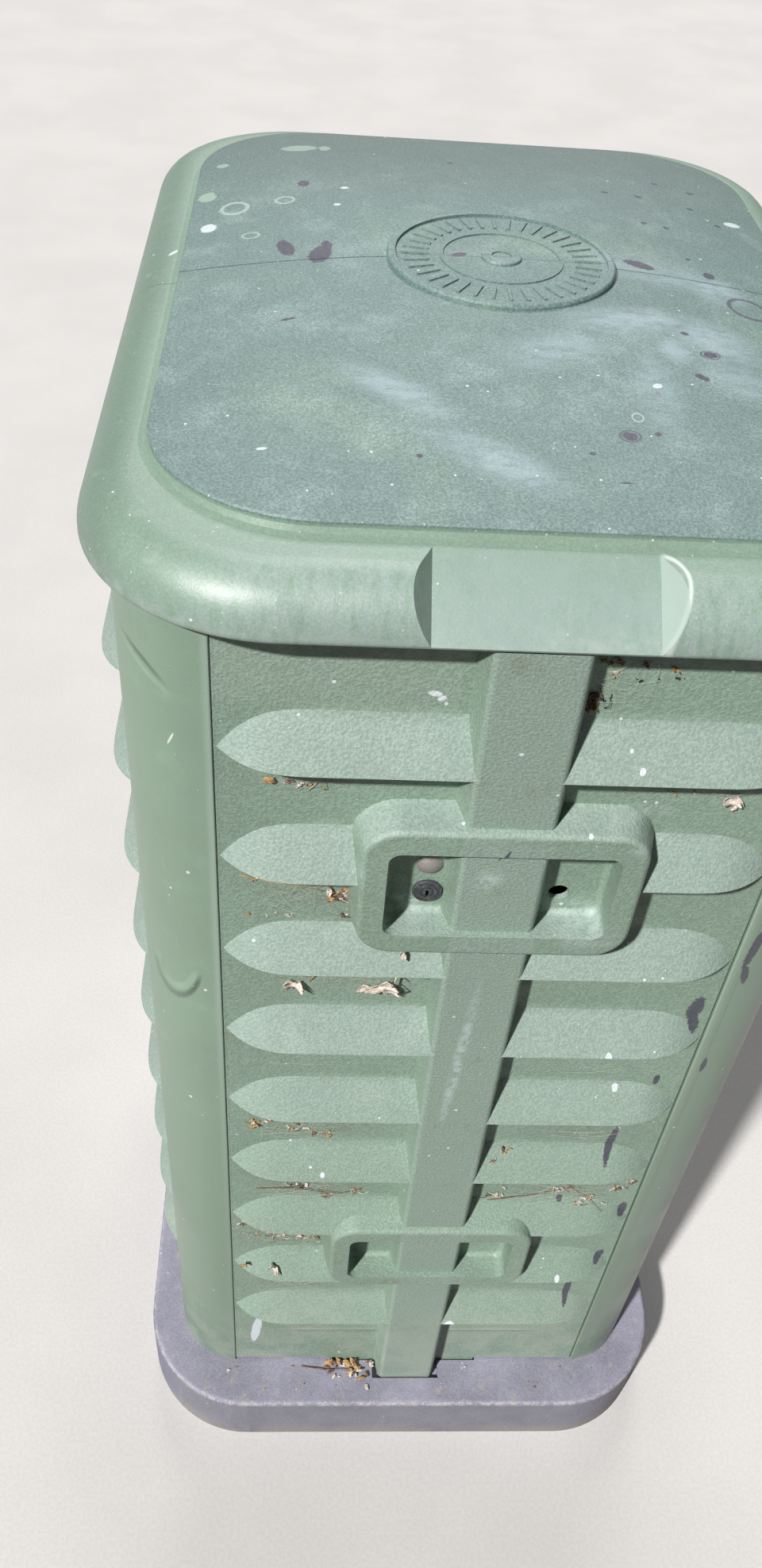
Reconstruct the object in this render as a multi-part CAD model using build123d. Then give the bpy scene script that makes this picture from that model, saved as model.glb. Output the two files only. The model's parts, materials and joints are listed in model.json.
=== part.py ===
from build123d import *
import os
from math import atan2, degrees, hypot, sqrt

os.makedirs("parts", exist_ok=True)

# Roadside utility cabinet, in millimetres.
# The origin is on the ground under the middle of the plinth, +Z up, the front faces -Y.

# Body: the corner posts set its width and depth
body_half_x = 256.0
body_half_y = 357.0
post_corner = 63.5
post_side_width = 65.0
wall = 5.0
front_opening = body_half_x - post_corner
side_opening = body_half_y - post_side_width
seat_set_back = 27.3
seat_width = 20.5
post_top = 1146.0
post_ridge_width = 9.0
post_ridge_height = 1.5
post_ridge_bevel = 0.6
post_ridge_top = 1.0

# Plinth
plinth_step_x = 36.0
plinth_step_y = 51.0
plinth_half_x = body_half_x + plinth_step_x
plinth_half_y = body_half_y + plinth_step_y
plinth_height = 84.0
plinth_corner = 114.0
plinth_wall = 8.0
plinth_deck = 8.0
plinth_edge = 5.0
plinth_rib = 6.0
deck_opening_inset_x = 91.0
deck_opening_inset_y = 95.0
deck_opening_half_x = body_half_x - deck_opening_inset_x
deck_opening_half_y = body_half_y - deck_opening_inset_y
deck_opening_corner = 30.0
anchor_inset_x = 82.0
anchor_inset_y = 108.0
anchor_half_x = plinth_half_x - anchor_inset_x
anchor_half_y = plinth_half_y - anchor_inset_y
anchor_hole = 7.0
anchor_pad_reach = 34.0
anchor_pad_height = 14.0
rib_bottom = 24.0
skirt_height = 34.0

# Covers and side panels
cover_side_gap = 0.8
cover_deck_gap = 2.0
cover_top = 1128.0
cover_lip = 24.0
side_panel_gap = 1.5
edge_round = 1.5
header_overlap = 28.0

# Louvres
louvre_count = 9
louvre_pitch = 100.6
louvre_first_crease = 1068.0
louvre_height = 38.5
louvre_tip_drop = 33.0
louvre_depth = 20.0
louvre_end = 62.0
louvre_side_margin = 1.5
louvre_wall = 4.0

# Centre strap of a cover, its tongue and the tab beside it
strap_face = 28.5
strap_foot = 35.5
strap_round = 4.5
strap_top_gap = 1.0
tongue_round = 3.0
tab_half = 79.0
tab_thickness = 10.0
pocket_depth = 9.0
pocket_gap = 2.0
pocket_floor_gap = 1.0
pocket_wall = 5.0

# Grip rings round the strap
ring_depth = 25.5
ring_half_x = 96.0
ring_half_z = 62.0
ring_open_x = 78.0
ring_open_z = 41.5
ring_corner = 26.0
ring_open_corner = 9.0
ring_spread = 7.0
ring_round = 4.5
ring_floor_round = 5.0
ring_centre_z = 925.0
lower_ring_half_z = 56.0
lower_ring_centre_z = 386.0

# Roof
roof_eave = 23.0
roof_half_x = body_half_x + roof_eave
roof_half_y = body_half_y + roof_eave
roof_corner = 127.0
roof_bottom = 1133.0
rim_top = 1171.5
rim_round = 33.0
rim_lower_round = 4.5
crown_set_in_x = 41.0
crown_set_in_y = 56.0
crown_half_x = roof_half_x - crown_set_in_x
crown_half_y = roof_half_y - crown_set_in_y
crown_corner = 108.0
crown_edge = 1181.0
crown_chamfer = 1.2
crown_rise = 22.5
gutter_reach = 6.0
gutter_rise = 5.0
gutter_bend = 0.3
seam_width = 1.2
seam_depth = 0.5
recess_floor_half = 66.0
recess_flare = 13.0
recess_depth = 17.0
recess_back_inset = 48.0
recess_front_inset = 1.0
recess_back_y = roof_half_y - recess_back_inset
recess_front_y = roof_half_y - recess_front_inset
recess_front_z = 1137.0
roof_boss = 14.0
roof_boss_inset_x = 60.0
roof_boss_inset_y = 95.0
roof_boss_x = body_half_x - roof_boss_inset_x
roof_boss_y = body_half_y - roof_boss_inset_y

# Medallion in the middle of the roof
medallion_radius = 85.0
medallion_height = 2.4
medallion_edge = 2.2
medallion_band = 6.0
medallion_field = 2.0
medallion_ribs = 36
medallion_rib_inner = 55.0
medallion_rib_outer = 74.0
medallion_rib_width = 2.4
medallion_rib_height = 1.2
medallion_inner_ring = 46.0
medallion_hub = 15.0
medallion_hub_round = 1.2
medallion_ring_width = 2.5
medallion_root = 8.0

# Steel angle frames and equipment frame
angle_leg = 40.0
angle_thickness = 3.0
upright_width = 40.0
upright_depth = 25.0
upright_x = 150.0
sheet = 2.5
gland_sheet = 3.0
rail_height = 36.0
rail_z = [190.0, 600.0, 1010.0]
module_rows = 10
module_pitch = 78.0
module_first_z = 225.0
module_length = 118.0
module_height = 30.0
module_depth = 34.0
module_slots = 8
module_slot = 2.6
module_slot_depth = 12.0
module_chamfer = 4.0
module_column_x = 68.0
bar_width = 20.0

# Lock
lock_gap = 0.5
lock_z = 904.0
lock_head = 10.6
lock_head_height = 2.6
lock_barrel = 9.0
lock_rotor = 6.4
running_gap = 0.1
keyway_width = 2.2
keyway_length = 6.0
nut_across = 26.0
nut_height = 5.0
cam_length = 46.0
cam_width = 16.0
cam_thickness = 3.0
stud_z = 930.5
stud_head = 9.5
stud_head_height = 4.2
stud_shank = 4.0
stud_nut = 7.5
stud_nut_height = 6.5
stud_thread = 9.0
backing_sheet = 2.0
spare_hole = 7.6
cam_square = 8.0
backing_side = 18.0
backing_above_stud = 14.0
lock_rim = 1.4
lock_collar = 0.6
lock_groove = 0.6
lock_ticks = 16
lock_tick_width = 0.9
lock_tick_height = 0.4
lock_edge_round = 0.9
keyway_rise = 1.6
keyway_depth = 12.0
rotor_ring_outer = 1.4
rotor_ring_inner = 2.6
rotor_ring_depth = 0.8
seal_width = 11.0
lock_rail_height = 28.0
lock_rail_drop = 24.0
body_gap = 0.3

# Fasteners
screw_radius = 4.0
screw_head = 7.5
screw_head_height = 5.0
screw_length = 22.0
screw_clearance = 0.4
screw_head_clearance = 2.0
screw_socket = 3.2
screw_socket_depth = 2.5

# Cable entry
grommet_radius = 26.0
grommet_height = 34.0
grommet_flange = 5.0
grommet_rim = 5.0
grommet_steps = 3
grommet_first_step = 3.0
grommet_step = 4.5
grommet_x = 90.0
grommet_y = 170.0
earth_bar_length = 220.0
earth_bar_height = 25.0
earth_bar_thickness = 6.0

# Values that follow from the sizes above
deck_z = plinth_height
cover_half = front_opening - cover_side_gap
cover_bottom = deck_z + cover_deck_gap
tongue_bottom = deck_z - pocket_depth + pocket_floor_gap
strap_top = roof_bottom - strap_top_gap
seat_face = body_half_y - seat_set_back
side_seat_face = body_half_x - seat_set_back + wall
frame_half_y = seat_face - wall
frame_half_x = side_seat_face - wall
seat_inner = front_opening - seat_width + wall / 2
side_seat_inner = side_opening - seat_width + wall / 2
lip_back = body_half_y - cover_lip
seal_thickness = lip_back - seat_face - body_gap
louvre_half_length = cover_half - louvre_side_margin
side_half = side_opening - side_panel_gap
side_louvre_half_length = side_half - louvre_side_margin
strap_y = body_half_y + louvre_depth
lock_x = strap_foot + lock_gap + lock_head

model = {}


def keep(name, shape):
    model[name] = shape


def span(x0, x1, y0, y1, z0, z1):
    """A box between two corners."""
    centre = ((x0 + x1) / 2, (y0 + y1) / 2, (z0 + z1) / 2)
    return Pos(*centre) * Box(abs(x1 - x0), abs(y1 - y0), abs(z1 - z0))


def rounded_block(half_x, half_y, radius, z0, z1):
    """An upright block with rounded corners in plan."""
    plan = RectangleRounded(2 * half_x, 2 * half_y, radius)
    return Pos(0, 0, z0) * extrude(plan, z1 - z0)


def upright_cylinder(radius, x, y, z0, z1):
    return Pos(x, y, (z0 + z1) / 2) * Cylinder(radius, z1 - z0)


def along_y(radius, x, z, y0, y1):
    """A cylinder that lies along Y."""
    return Pos(x, (y0 + y1) / 2, z) * Rot(90, 0, 0) * Cylinder(radius, abs(y1 - y0))


def facing_front(sketch, y, amount, taper=0):
    """Extrude an elevation sketch towards the front from depth y."""
    placed = Plane(origin=(0, y, 0), x_dir=(1, 0, 0), z_dir=(0, -1, 0)) * sketch
    return extrude(placed, amount, taper=taper)


def to_rear(shape):
    return Rot(0, 0, 180) * shape


# Louvres

def louvre(half_length, crease_z, y, inset, root):
    """One louvre on a panel whose face is at y.

    The face slopes out from the crease to the lip. Towards each end it sinks into the
    panel along a curve, and its underside is one plane through both tips, so that lip and
    crease meet there in a point. It starts a root's depth behind the face. A hollow is the
    same form, set in by the inset on its face, underside and ends.
    """
    slope = hypot(louvre_depth, louvre_height)
    fall = louvre_tip_drop * louvre_depth / slope
    reach = 2 * fall + louvre_wall
    half = half_length - inset
    core = half - louvre_end
    third = louvre_end / 3
    down = Vector(0, -louvre_depth / slope, -louvre_height / slope)
    out = Vector(0, -louvre_height / slope, louvre_depth / slope)
    start = Vector(0, y, crease_z) - out * inset - down * reach
    across = Plane(origin=start, x_dir=(1, 0, 0), z_dir=down)
    turn = 1 if across.y_dir.dot(out) > 0 else -1
    with BuildSketch() as profile:
        with BuildLine():
            Line((-core, 0), (core, 0))
            Bezier((core, 0), (core + third, 0), (core + 2 * third, 0), (half, -turn * fall))
            Polyline((half, -turn * fall), (half, -turn * reach), (-half, -turn * reach),
                     (-half, -turn * fall))
            Bezier((-half, -turn * fall), (-core - 2 * third, 0), (-core - third, 0), (-core, 0))
        make_face()
    sloped = extrude(across * profile.sketch, slope + 2 * reach, dir=down)
    drop = (louvre_height - louvre_tip_drop) / louvre_depth
    tip = crease_z - louvre_tip_drop + inset
    front = louvre_depth + 1.0
    side = Polygon((y + root, tip + drop * root), (y - front, tip - drop * front),
                   (y - front, crease_z + reach), (y + root, crease_z + reach), align=None)
    return sloped & extrude(Plane.YZ.offset(-half) * side, 2 * half, dir=(1, 0, 0))


def louvre_stack(half_length, y):
    first = louvre(half_length, louvre_first_crease, y, 0.0, wall / 2)
    return [Pos(0, 0, -louvre_pitch * i) * first for i in range(louvre_count)]


def hollow_stack(half_length, y):
    first = louvre(half_length, louvre_first_crease, y, louvre_wall, wall + 1.0)
    return [Pos(0, 0, -louvre_pitch * i) * first for i in range(louvre_count)]


def lipped_panel(half_length, face_y, z0, z1, lip):
    """A flat panel with a lip all round its back."""
    outer = span(-half_length, half_length, -face_y, -face_y + lip, z0, z1)
    inner = span(-half_length + wall, half_length - wall, -face_y + wall, -face_y + lip + 1.0,
                 z0 + wall, z1 - wall)
    front_edges = outer.faces().sort_by(Axis.Y)[0].edges()
    return fillet(front_edges, edge_round) - inner


# Plinth

def pocket(gap, z0, z1):
    """Plan of the tongue and tab of the front cover, grown by a gap."""
    stem = span(-strap_foot - gap, strap_foot + gap, -strap_y - gap, -body_half_y, z0, z1)
    bar = span(-tab_half - gap, tab_half + gap, -body_half_y - gap,
               -body_half_y + tab_thickness + gap, z0, z1)
    return stem + bar


def make_plinth():
    body = rounded_block(plinth_half_x, plinth_half_y, plinth_corner, 0, plinth_height)
    top_edges = body.faces().sort_by(Axis.Z)[-1].edges()
    body = fillet(top_edges, plinth_edge)
    inside = rounded_block(plinth_half_x - plinth_wall, plinth_half_y - plinth_wall,
                           plinth_corner - plinth_wall, -1.0, deck_z - plinth_deck)
    opening = rounded_block(deck_opening_half_x, deck_opening_half_y, deck_opening_corner,
                            -1.0, deck_z + 1.0)
    skirt = rounded_block(deck_opening_half_x + plinth_rib, deck_opening_half_y + plinth_rib,
                          deck_opening_corner + plinth_rib, deck_z - skirt_height, deck_z)
    shell = body - inside + skirt
    ribs = []
    for x in (-anchor_half_x / 2, anchor_half_x / 2):
        ribs.append(span(x - plinth_rib / 2, x + plinth_rib / 2, -plinth_half_y + 2, plinth_half_y - 2,
                         rib_bottom, deck_z - 2))
    for y in (-anchor_half_y / 2, anchor_half_y / 2):
        ribs.append(span(-plinth_half_x + 2, plinth_half_x - 2, y - plinth_rib / 2, y + plinth_rib / 2,
                         rib_bottom, deck_z - 2))
    for rib in ribs:
        shell = shell + (rib & body)
    for side in (-1, 1):
        for end in (-1, 1):
            pad = span(side * (anchor_half_x - anchor_pad_reach), side * plinth_half_x,
                       end * (anchor_half_y - anchor_pad_reach), end * plinth_half_y, 0, anchor_pad_height)
            shell = shell + (pad & body)
    under = pocket(pocket_gap + pocket_wall, deck_z - pocket_depth - pocket_wall, deck_z - 2)
    shell = shell + under + to_rear(under)
    cut = pocket(pocket_gap, deck_z - pocket_depth, deck_z + 1.0)
    shell = shell - opening - cut - to_rear(cut)
    for x in (-anchor_half_x, anchor_half_x):
        for y in (-anchor_half_y, anchor_half_y):
            shell = shell - upright_cylinder(anchor_hole, x, y, -1.0, anchor_pad_height + 1.0)
    return shell


# Posts

def make_post():
    """Front right corner post: a rounded skin with a seat for the cover and for the side panel."""
    outer = body_half_x
    front = body_half_y
    centre_x = outer - post_corner
    centre_y = front - post_corner
    corner = Pos(centre_x, centre_y) * (Circle(post_corner) - Circle(post_corner - wall))
    quarter = Rectangle(post_corner, post_corner, align=(Align.MIN, Align.MIN))
    corner = corner & (Pos(centre_x, centre_y) * quarter)

    def strip(x0, x1, y0, y1):
        return Pos((x0 + x1) / 2, (y0 + y1) / 2) * Rectangle(x1 - x0, y1 - y0)

    plan = corner
    plan = plan + strip(front_opening, centre_x, front - wall, front)
    crest = front + post_ridge_height
    near = front_opening + post_ridge_bevel
    ridge = Polygon((front_opening, front - wall), (front_opening + post_ridge_width, front),
                    (near + post_ridge_top, crest), (near, crest),
                    (front_opening, crest - post_ridge_bevel), align=None)
    plan = plan + ridge
    plan = plan + strip(front_opening, front_opening + wall, seat_face - wall, front)
    plan = plan + strip(seat_inner, front_opening + wall, seat_face - wall, seat_face)
    plan = plan + strip(outer - wall, outer, side_opening, centre_y)
    plan = plan + strip(frame_half_x, outer, side_opening, side_opening + wall)
    plan = plan + strip(frame_half_x, side_seat_face, side_seat_inner, side_opening + wall)
    post = Pos(0, 0, deck_z) * extrude(plan, post_top - deck_z)
    return Rot(180, 0, 0) * Pos(0, 0, -deck_z - post_top) * post


# Cover

def ring_solid(half_z, centre_z):
    spread = degrees(atan2(ring_spread, ring_depth))
    foot = RectangleRounded(2 * (ring_half_x + ring_spread), 2 * (half_z + ring_spread),
                            ring_corner + ring_spread)
    block = facing_front(foot, -body_half_y + wall / 2, ring_depth + wall / 2, spread)
    block = fillet(block.faces().sort_by(Axis.Y)[0].edges(), ring_round)
    return Pos(0, 0, centre_z) * block


def ring_opening(half_z, centre_z):
    bar = (ring_half_z - ring_open_z) * half_z / ring_half_z
    plan = RectangleRounded(2 * ring_open_x, 2 * (half_z - bar), ring_open_corner)
    block = facing_front(plan, -body_half_y, ring_depth + 1.0)
    block = fillet(block.faces().sort_by(Axis.Y)[-1].edges(), ring_floor_round)
    return Pos(0, 0, centre_z) * block


def ring_groove(half_z, centre_z):
    """The hollow behind the bars of a ring."""
    bar = (ring_half_z - ring_open_z) * half_z / ring_half_z
    outer = RectangleRounded(2 * (ring_half_x - louvre_wall), 2 * (half_z - louvre_wall),
                             ring_corner - louvre_wall)
    inner = RectangleRounded(2 * (ring_open_x + louvre_wall), 2 * (half_z - bar + louvre_wall),
                             ring_open_corner + louvre_wall)
    groove = facing_front(outer - inner, -body_half_y + wall + 1.0, ring_depth + 1.0)
    return Pos(0, 0, centre_z) * groove


def strap_solid(inset, y0, y1, z0, z1):
    """The drafted strap between two depths, narrower by an inset."""
    lean = (strap_foot - strap_face) / louvre_depth
    foot = strap_foot - inset + lean * (-body_half_y - y0) * -1
    face = strap_face - inset + lean * (louvre_depth - (-body_half_y - y1))
    plan = Polygon((-foot, y0), (foot, y0), (face, y1), (-face, y1), align=None)
    return Pos(0, 0, z0) * extrude(plan, z1 - z0, dir=(0, 0, 1))


def make_cover():
    panel = lipped_panel(cover_half, body_half_y, cover_bottom, cover_top, cover_lip)
    tab = span(-tab_half, tab_half, -body_half_y, -body_half_y + tab_thickness,
               tongue_bottom, cover_bottom + wall)
    tab = fillet(tab.edges().filter_by(Axis.Y).group_by(Axis.Z)[0], tongue_round)
    cover = panel + tab
    for piece in louvre_stack(louvre_half_length, -body_half_y):
        cover = cover + piece
    hollows = hollow_stack(louvre_half_length, -body_half_y)
    rings = ((ring_half_z, ring_centre_z), (lower_ring_half_z, lower_ring_centre_z))
    for half_z, centre_z in rings:
        cover = cover + ring_solid(half_z, centre_z)
    for half_z, centre_z in rings:
        cover = cover - ring_opening(half_z, centre_z)
    strap = strap_solid(0.0, -body_half_y + wall / 2, -strap_y, tongue_bottom, strap_top)
    face = strap.faces().sort_by(Axis.Y)[0]
    strap = fillet(face.edges().filter_by(Axis.Z), strap_round)
    cover = cover + strap
    for hollow in hollows:
        cut = hollow
        for half_z, centre_z in rings:
            keep_out = Pos(0, 0, centre_z) * facing_front(
                Rectangle(2 * (ring_half_x + ring_spread), 2 * (half_z + ring_spread)),
                -body_half_y + wall + 2.0, ring_depth + wall + 2.0)
            if abs(hollow.center().Z - centre_z) < half_z + ring_spread + louvre_height:
                cut = cut - keep_out
        cover = cover - cut
    for half_z, centre_z in rings:
        cover = cover - ring_groove(half_z, centre_z)
    channel = strap_solid(louvre_wall, -body_half_y + wall + 1.0, -strap_y + wall,
                          tongue_bottom + wall, strap_top - wall)
    bed = span(-tab_half, tab_half, -body_half_y + wall, -body_half_y + tab_thickness, 0, cover_bottom + wall)
    cover = cover - (channel - bed)
    through = (-body_half_y - 1.0, -body_half_y + wall + 1.0)
    cover = cover - along_y(lock_barrel, -lock_x, lock_z, *through)
    cover = cover - along_y(spare_hole, lock_x, lock_z, *through)
    cover = cover - along_y(stud_shank + running_gap, -lock_x, stud_z, *through)
    return cover


# Side panel, drawn as if it faced the front and then turned to its side

def make_side_panel():
    half = side_half
    lip = body_half_x - side_seat_face
    panel = lipped_panel(half, body_half_x, deck_z, post_top, lip)
    for piece in louvre_stack(side_louvre_half_length, -body_half_x):
        panel = panel + piece
    for hollow in hollow_stack(side_louvre_half_length, -body_half_x):
        panel = panel - hollow
    return Rot(0, 0, -90) * panel


# Roof

def crown(half_x, half_y, corner, z0, rise, base):
    """A pillow on a block: rounded rectangles that shrink as they climb a parabola."""
    block = rounded_block(half_x, half_y, corner, base, z0)
    block = chamfer(block.faces().sort_by(Axis.Z)[-1].edges(), crown_chamfer)
    sections = []
    for share in (1.0, 0.8, 0.6, 0.4, 0.22):
        plan = RectangleRounded(2 * (half_x - crown_chamfer) * share, 2 * (half_y - crown_chamfer) * share,
                                (corner - crown_chamfer) * share)
        sections.append(Pos(0, 0, z0 + rise * (1 - share * share)) * plan)
    return block + loft(sections)


def gutter():
    """The soft hollow between the rim and the foot of the crown, as two tapered steps."""
    rings = []
    low_reach = gutter_reach
    low_rise = 0.0
    for share in (gutter_bend, 1.0):
        high_reach = gutter_reach * gutter_bend if share < 1.0 else 0.0
        high_rise = gutter_rise * share
        plan = RectangleRounded(2 * (crown_half_x + low_reach), 2 * (crown_half_y + low_reach),
                                crown_corner + low_reach)
        lean = degrees(atan2(low_reach - high_reach, high_rise - low_rise))
        rings.append(Pos(0, 0, rim_top + low_rise) * extrude(plan, high_rise - low_rise, taper=lean))
        low_reach = high_reach
        low_rise = high_rise
    return rings[0] + rings[1]


def recess_cutter(inward):
    """The hand hold of the rim: a flat bed with flared ends, moved inward by a wall."""
    run = recess_front_y - recess_back_y
    fall = rim_top - recess_front_z
    length = hypot(run, fall)
    down = Vector(0, -run / length, -fall / length)
    out = Vector(0, -fall / length, run / length)
    start = Vector(0, -recess_back_y, rim_top) - out * inward - down * length
    plane = Plane(origin=start, x_dir=(1, 0, 0), z_dir=down)
    grow = 1 if plane.y_dir.dot(out) > 0 else -1
    floor = recess_floor_half + inward
    far = 3
    plan = Polygon((-floor, 0), (floor, 0), (floor + recess_flare * far, grow * recess_depth * far),
                   (-floor - recess_flare * far, grow * recess_depth * far), align=None)
    return extrude(plane * plan, 3 * length, dir=down)


def make_roof():
    rim = rounded_block(roof_half_x, roof_half_y, roof_corner, roof_bottom, rim_top)
    rim = fillet(rim.faces().sort_by(Axis.Z)[-1].edges(), rim_round)
    rim = fillet(rim.faces().sort_by(Axis.Z)[0].edges(), rim_lower_round)
    below_crown = rounded_block(crown_half_x + 1.0, crown_half_y + 1.0, crown_corner + 1.0,
                                roof_bottom, rim_top)
    rim = rim + gutter()
    cutter = recess_cutter(0.0) - below_crown
    rim = rim - cutter - to_rear(cutter)
    top = crown(crown_half_x, crown_half_y, crown_corner, crown_edge, crown_rise, roof_bottom + wall)
    seam = span(-crown_half_x, crown_half_x, -seam_width / 2, seam_width / 2,
                crown_edge - 1.0, medallion_top())
    seam = (seam & top) - Pos(0, 0, -seam_depth) * top
    outer = rim + top
    inner_rim = rounded_block(roof_half_x - wall, roof_half_y - wall, roof_corner - wall,
                              roof_bottom - 1.0, rim_top - wall)
    inner_rim = fillet(inner_rim.faces().sort_by(Axis.Z)[-1].edges(), rim_round - wall)
    keep_in = recess_cutter(wall) - rounded_block(crown_half_x, crown_half_y, crown_corner,
                                                  roof_bottom - 1.0, rim_top - wall)
    inner_rim = inner_rim - keep_in - to_rear(keep_in)
    inner_top = crown(crown_half_x - wall, crown_half_y - wall, crown_corner - wall,
                      crown_edge - wall, crown_rise, roof_bottom)
    roof = outer - inner_rim - inner_top
    for x in (-roof_boss_x, roof_boss_x):
        for y in (-roof_boss_y, 0, roof_boss_y):
            boss = upright_cylinder(roof_boss, x, y, post_top + 2.0, crown_edge + crown_rise) & outer
            roof = roof + boss
            roof = roof - upright_cylinder(screw_radius, x, y, post_top, post_top + screw_length)
    roof = roof - seam
    field = medallion_top() - medallion_field
    disc = upright_cylinder(medallion_radius, 0, 0, crown_edge + crown_rise - medallion_root, medallion_top())
    disc = fillet(disc.edges().sort_by(Axis.Z)[-1], medallion_edge)
    dish = upright_cylinder(medallion_radius - medallion_band, 0, 0, field, medallion_top() + 1.0)
    roof = roof + (disc - dish)
    ring = upright_cylinder(medallion_inner_ring, 0, 0, field - 1.0, field + 1.0)
    ring = ring - upright_cylinder(medallion_inner_ring - medallion_ring_width, 0, 0,
                                   field - 2.0, field + 2.0)
    hub = upright_cylinder(medallion_hub, 0, 0, field - 1.0, medallion_top())
    hub = fillet(hub.edges().sort_by(Axis.Z)[-1], medallion_hub_round)
    hub = hub - upright_cylinder(medallion_hub / 2, 0, 0, field + 1.0, medallion_top() + 1.0)
    roof = roof + ring + hub
    middle = (medallion_rib_inner + medallion_rib_outer) / 2
    length = medallion_rib_outer - medallion_rib_inner
    for i in range(medallion_ribs):
        rib = Pos(middle, 0, field) * Box(length, medallion_rib_width, 2 * medallion_rib_height)
        rib = Rot(0, 0, 360 * i / medallion_ribs) * rib
        roof = roof + rib
    return roof


def medallion_top():
    return crown_edge + crown_rise + medallion_height


# Frames and inner parts

def angle_ring(z0, flange_on_top):
    """A rectangular ring of steel angle, one leg upright and one leg flat."""
    tall = angle_leg
    upright = span(-frame_half_x, frame_half_x, -frame_half_y, frame_half_y, z0, z0 + tall)
    upright = upright - span(-frame_half_x + angle_thickness, frame_half_x - angle_thickness,
                             -frame_half_y + angle_thickness, frame_half_y - angle_thickness,
                             z0 - 1.0, z0 + tall + 1.0)
    flat_z = z0 + tall - angle_thickness if flange_on_top else z0
    flat = span(-frame_half_x, frame_half_x, -frame_half_y, frame_half_y, flat_z, flat_z + angle_thickness)
    flat = flat - span(-frame_half_x + angle_leg, frame_half_x - angle_leg,
                       -frame_half_y + angle_leg, frame_half_y - angle_leg, z0 - 1.0, z0 + tall + 1.0)
    return upright + flat


def make_top_frame():
    ring = angle_ring(post_top + 2.0 - angle_leg, True)
    for x in (-roof_boss_x, roof_boss_x):
        for y in (-roof_boss_y, 0, roof_boss_y):
            ring = ring - upright_cylinder(screw_radius + screw_clearance, x, y,
                                           post_top - 6.0, post_top + 6.0)
    return ring


def make_gland_plate():
    half_x = frame_half_x - angle_leg - 1.0
    half_y = frame_half_y - angle_leg - 1.0
    plate = span(-half_x, half_x, -half_y, half_y, deck_z, deck_z + gland_sheet)
    for x, y in grommet_places():
        plate = plate - upright_cylinder(grommet_radius, x, y, deck_z - 1.0, deck_z + gland_sheet + 1.0)
    return plate


def grommet_places():
    return [(x, y) for y in (-grommet_y, grommet_y) for x in (-grommet_x, grommet_x)]


def make_grommet(x, y):
    """A stepped rubber cable grommet with a groove that holds the plate's edge."""
    z = deck_z
    top = z + gland_sheet
    body = upright_cylinder(grommet_radius, x, y, z, top)
    body = body + upright_cylinder(grommet_radius + grommet_flange, x, y, top, top + grommet_rim)
    body = body + upright_cylinder(grommet_radius + grommet_flange / 2, x, y, z - grommet_rim, z)
    rise = (grommet_height - grommet_rim) / grommet_steps
    for i in range(grommet_steps):
        radius = grommet_radius - grommet_first_step - grommet_step * i
        body = body + upright_cylinder(radius, x, y, top + grommet_rim, top + grommet_rim + rise * (i + 1))
    return body


def make_upright(x):
    """A channel that stands on the gland plate and reaches the top rail."""
    z0 = deck_z + gland_sheet
    z1 = post_top - rail_height
    outer = span(x - upright_width / 2, x + upright_width / 2, -upright_depth / 2, upright_depth / 2, z0, z1)
    inner = span(x - upright_width / 2 + sheet, x + upright_width / 2 - sheet,
                 -upright_depth / 2 + sheet, upright_depth / 2 + 1.0, z0 - 1.0, z1 + 1.0)
    return outer - inner


def make_top_rail():
    reach = frame_half_x - angle_thickness
    z0 = post_top - rail_height
    outer = span(-reach, reach, -upright_depth / 2, upright_depth / 2, z0, post_top - 1.0)
    inner = span(-reach - 1.0, reach + 1.0, -upright_depth / 2 + sheet, upright_depth / 2 - sheet,
                 z0 + sheet, post_top + 1.0)
    rail = outer - inner
    for x in (-roof_boss_x, roof_boss_x):
        rail = rail - upright_cylinder(screw_head + screw_head_clearance, x, 0, z0 - 1.0, post_top + 1.0)
    return rail


def make_mounting_bar(x):
    """An upright flat bar in front of the rails that carries one column of terminal blocks."""
    back = -upright_depth / 2 - sheet
    return span(x - bar_width / 2, x + bar_width / 2, back - sheet, back,
                rail_z[0] - rail_height / 2, rail_z[-1] + rail_height / 2)


def make_cross_rail(z):
    reach = upright_x + upright_width / 2
    rail = span(-reach, reach, -upright_depth / 2 - sheet, -upright_depth / 2,
                z - rail_height / 2, z + rail_height / 2)
    for x in (-upright_x, upright_x):
        rail = rail - along_y(screw_radius, x, z, -upright_depth, 0)
    return rail


def make_module(x, z):
    """A terminal block: a body with a comb of wire slots along its front."""
    back = -upright_depth / 2 - 2 * sheet
    front = back - module_depth
    block = span(x - module_length / 2, x + module_length / 2, front, back,
                 z - module_height / 2, z + module_height / 2)
    block = chamfer(block.faces().sort_by(Axis.Y)[0].edges().filter_by(Axis.X), module_chamfer)
    gap = module_length / (module_slots + 1)
    for i in range(module_slots):
        slot_x = x - module_length / 2 + gap * (i + 1)
        block = block - span(slot_x - module_slot / 2, slot_x + module_slot / 2,
                             front - 1.0, front + module_slot_depth,
                             z - module_height / 2 - 1.0, z + module_height / 2 + 1.0)
    return block


def make_lock_rail():
    """A strip across the front opening that the cam of the lock turns behind."""
    z1 = lock_z - lock_rail_drop
    reach = front_opening + wall
    return span(-reach, reach, -frame_half_y, -frame_half_y + angle_thickness, z1 - lock_rail_height, z1)


# Lock, drawn for the front cover at the left of the strap

def lock_back():
    return -frame_half_y + angle_thickness + body_gap


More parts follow.
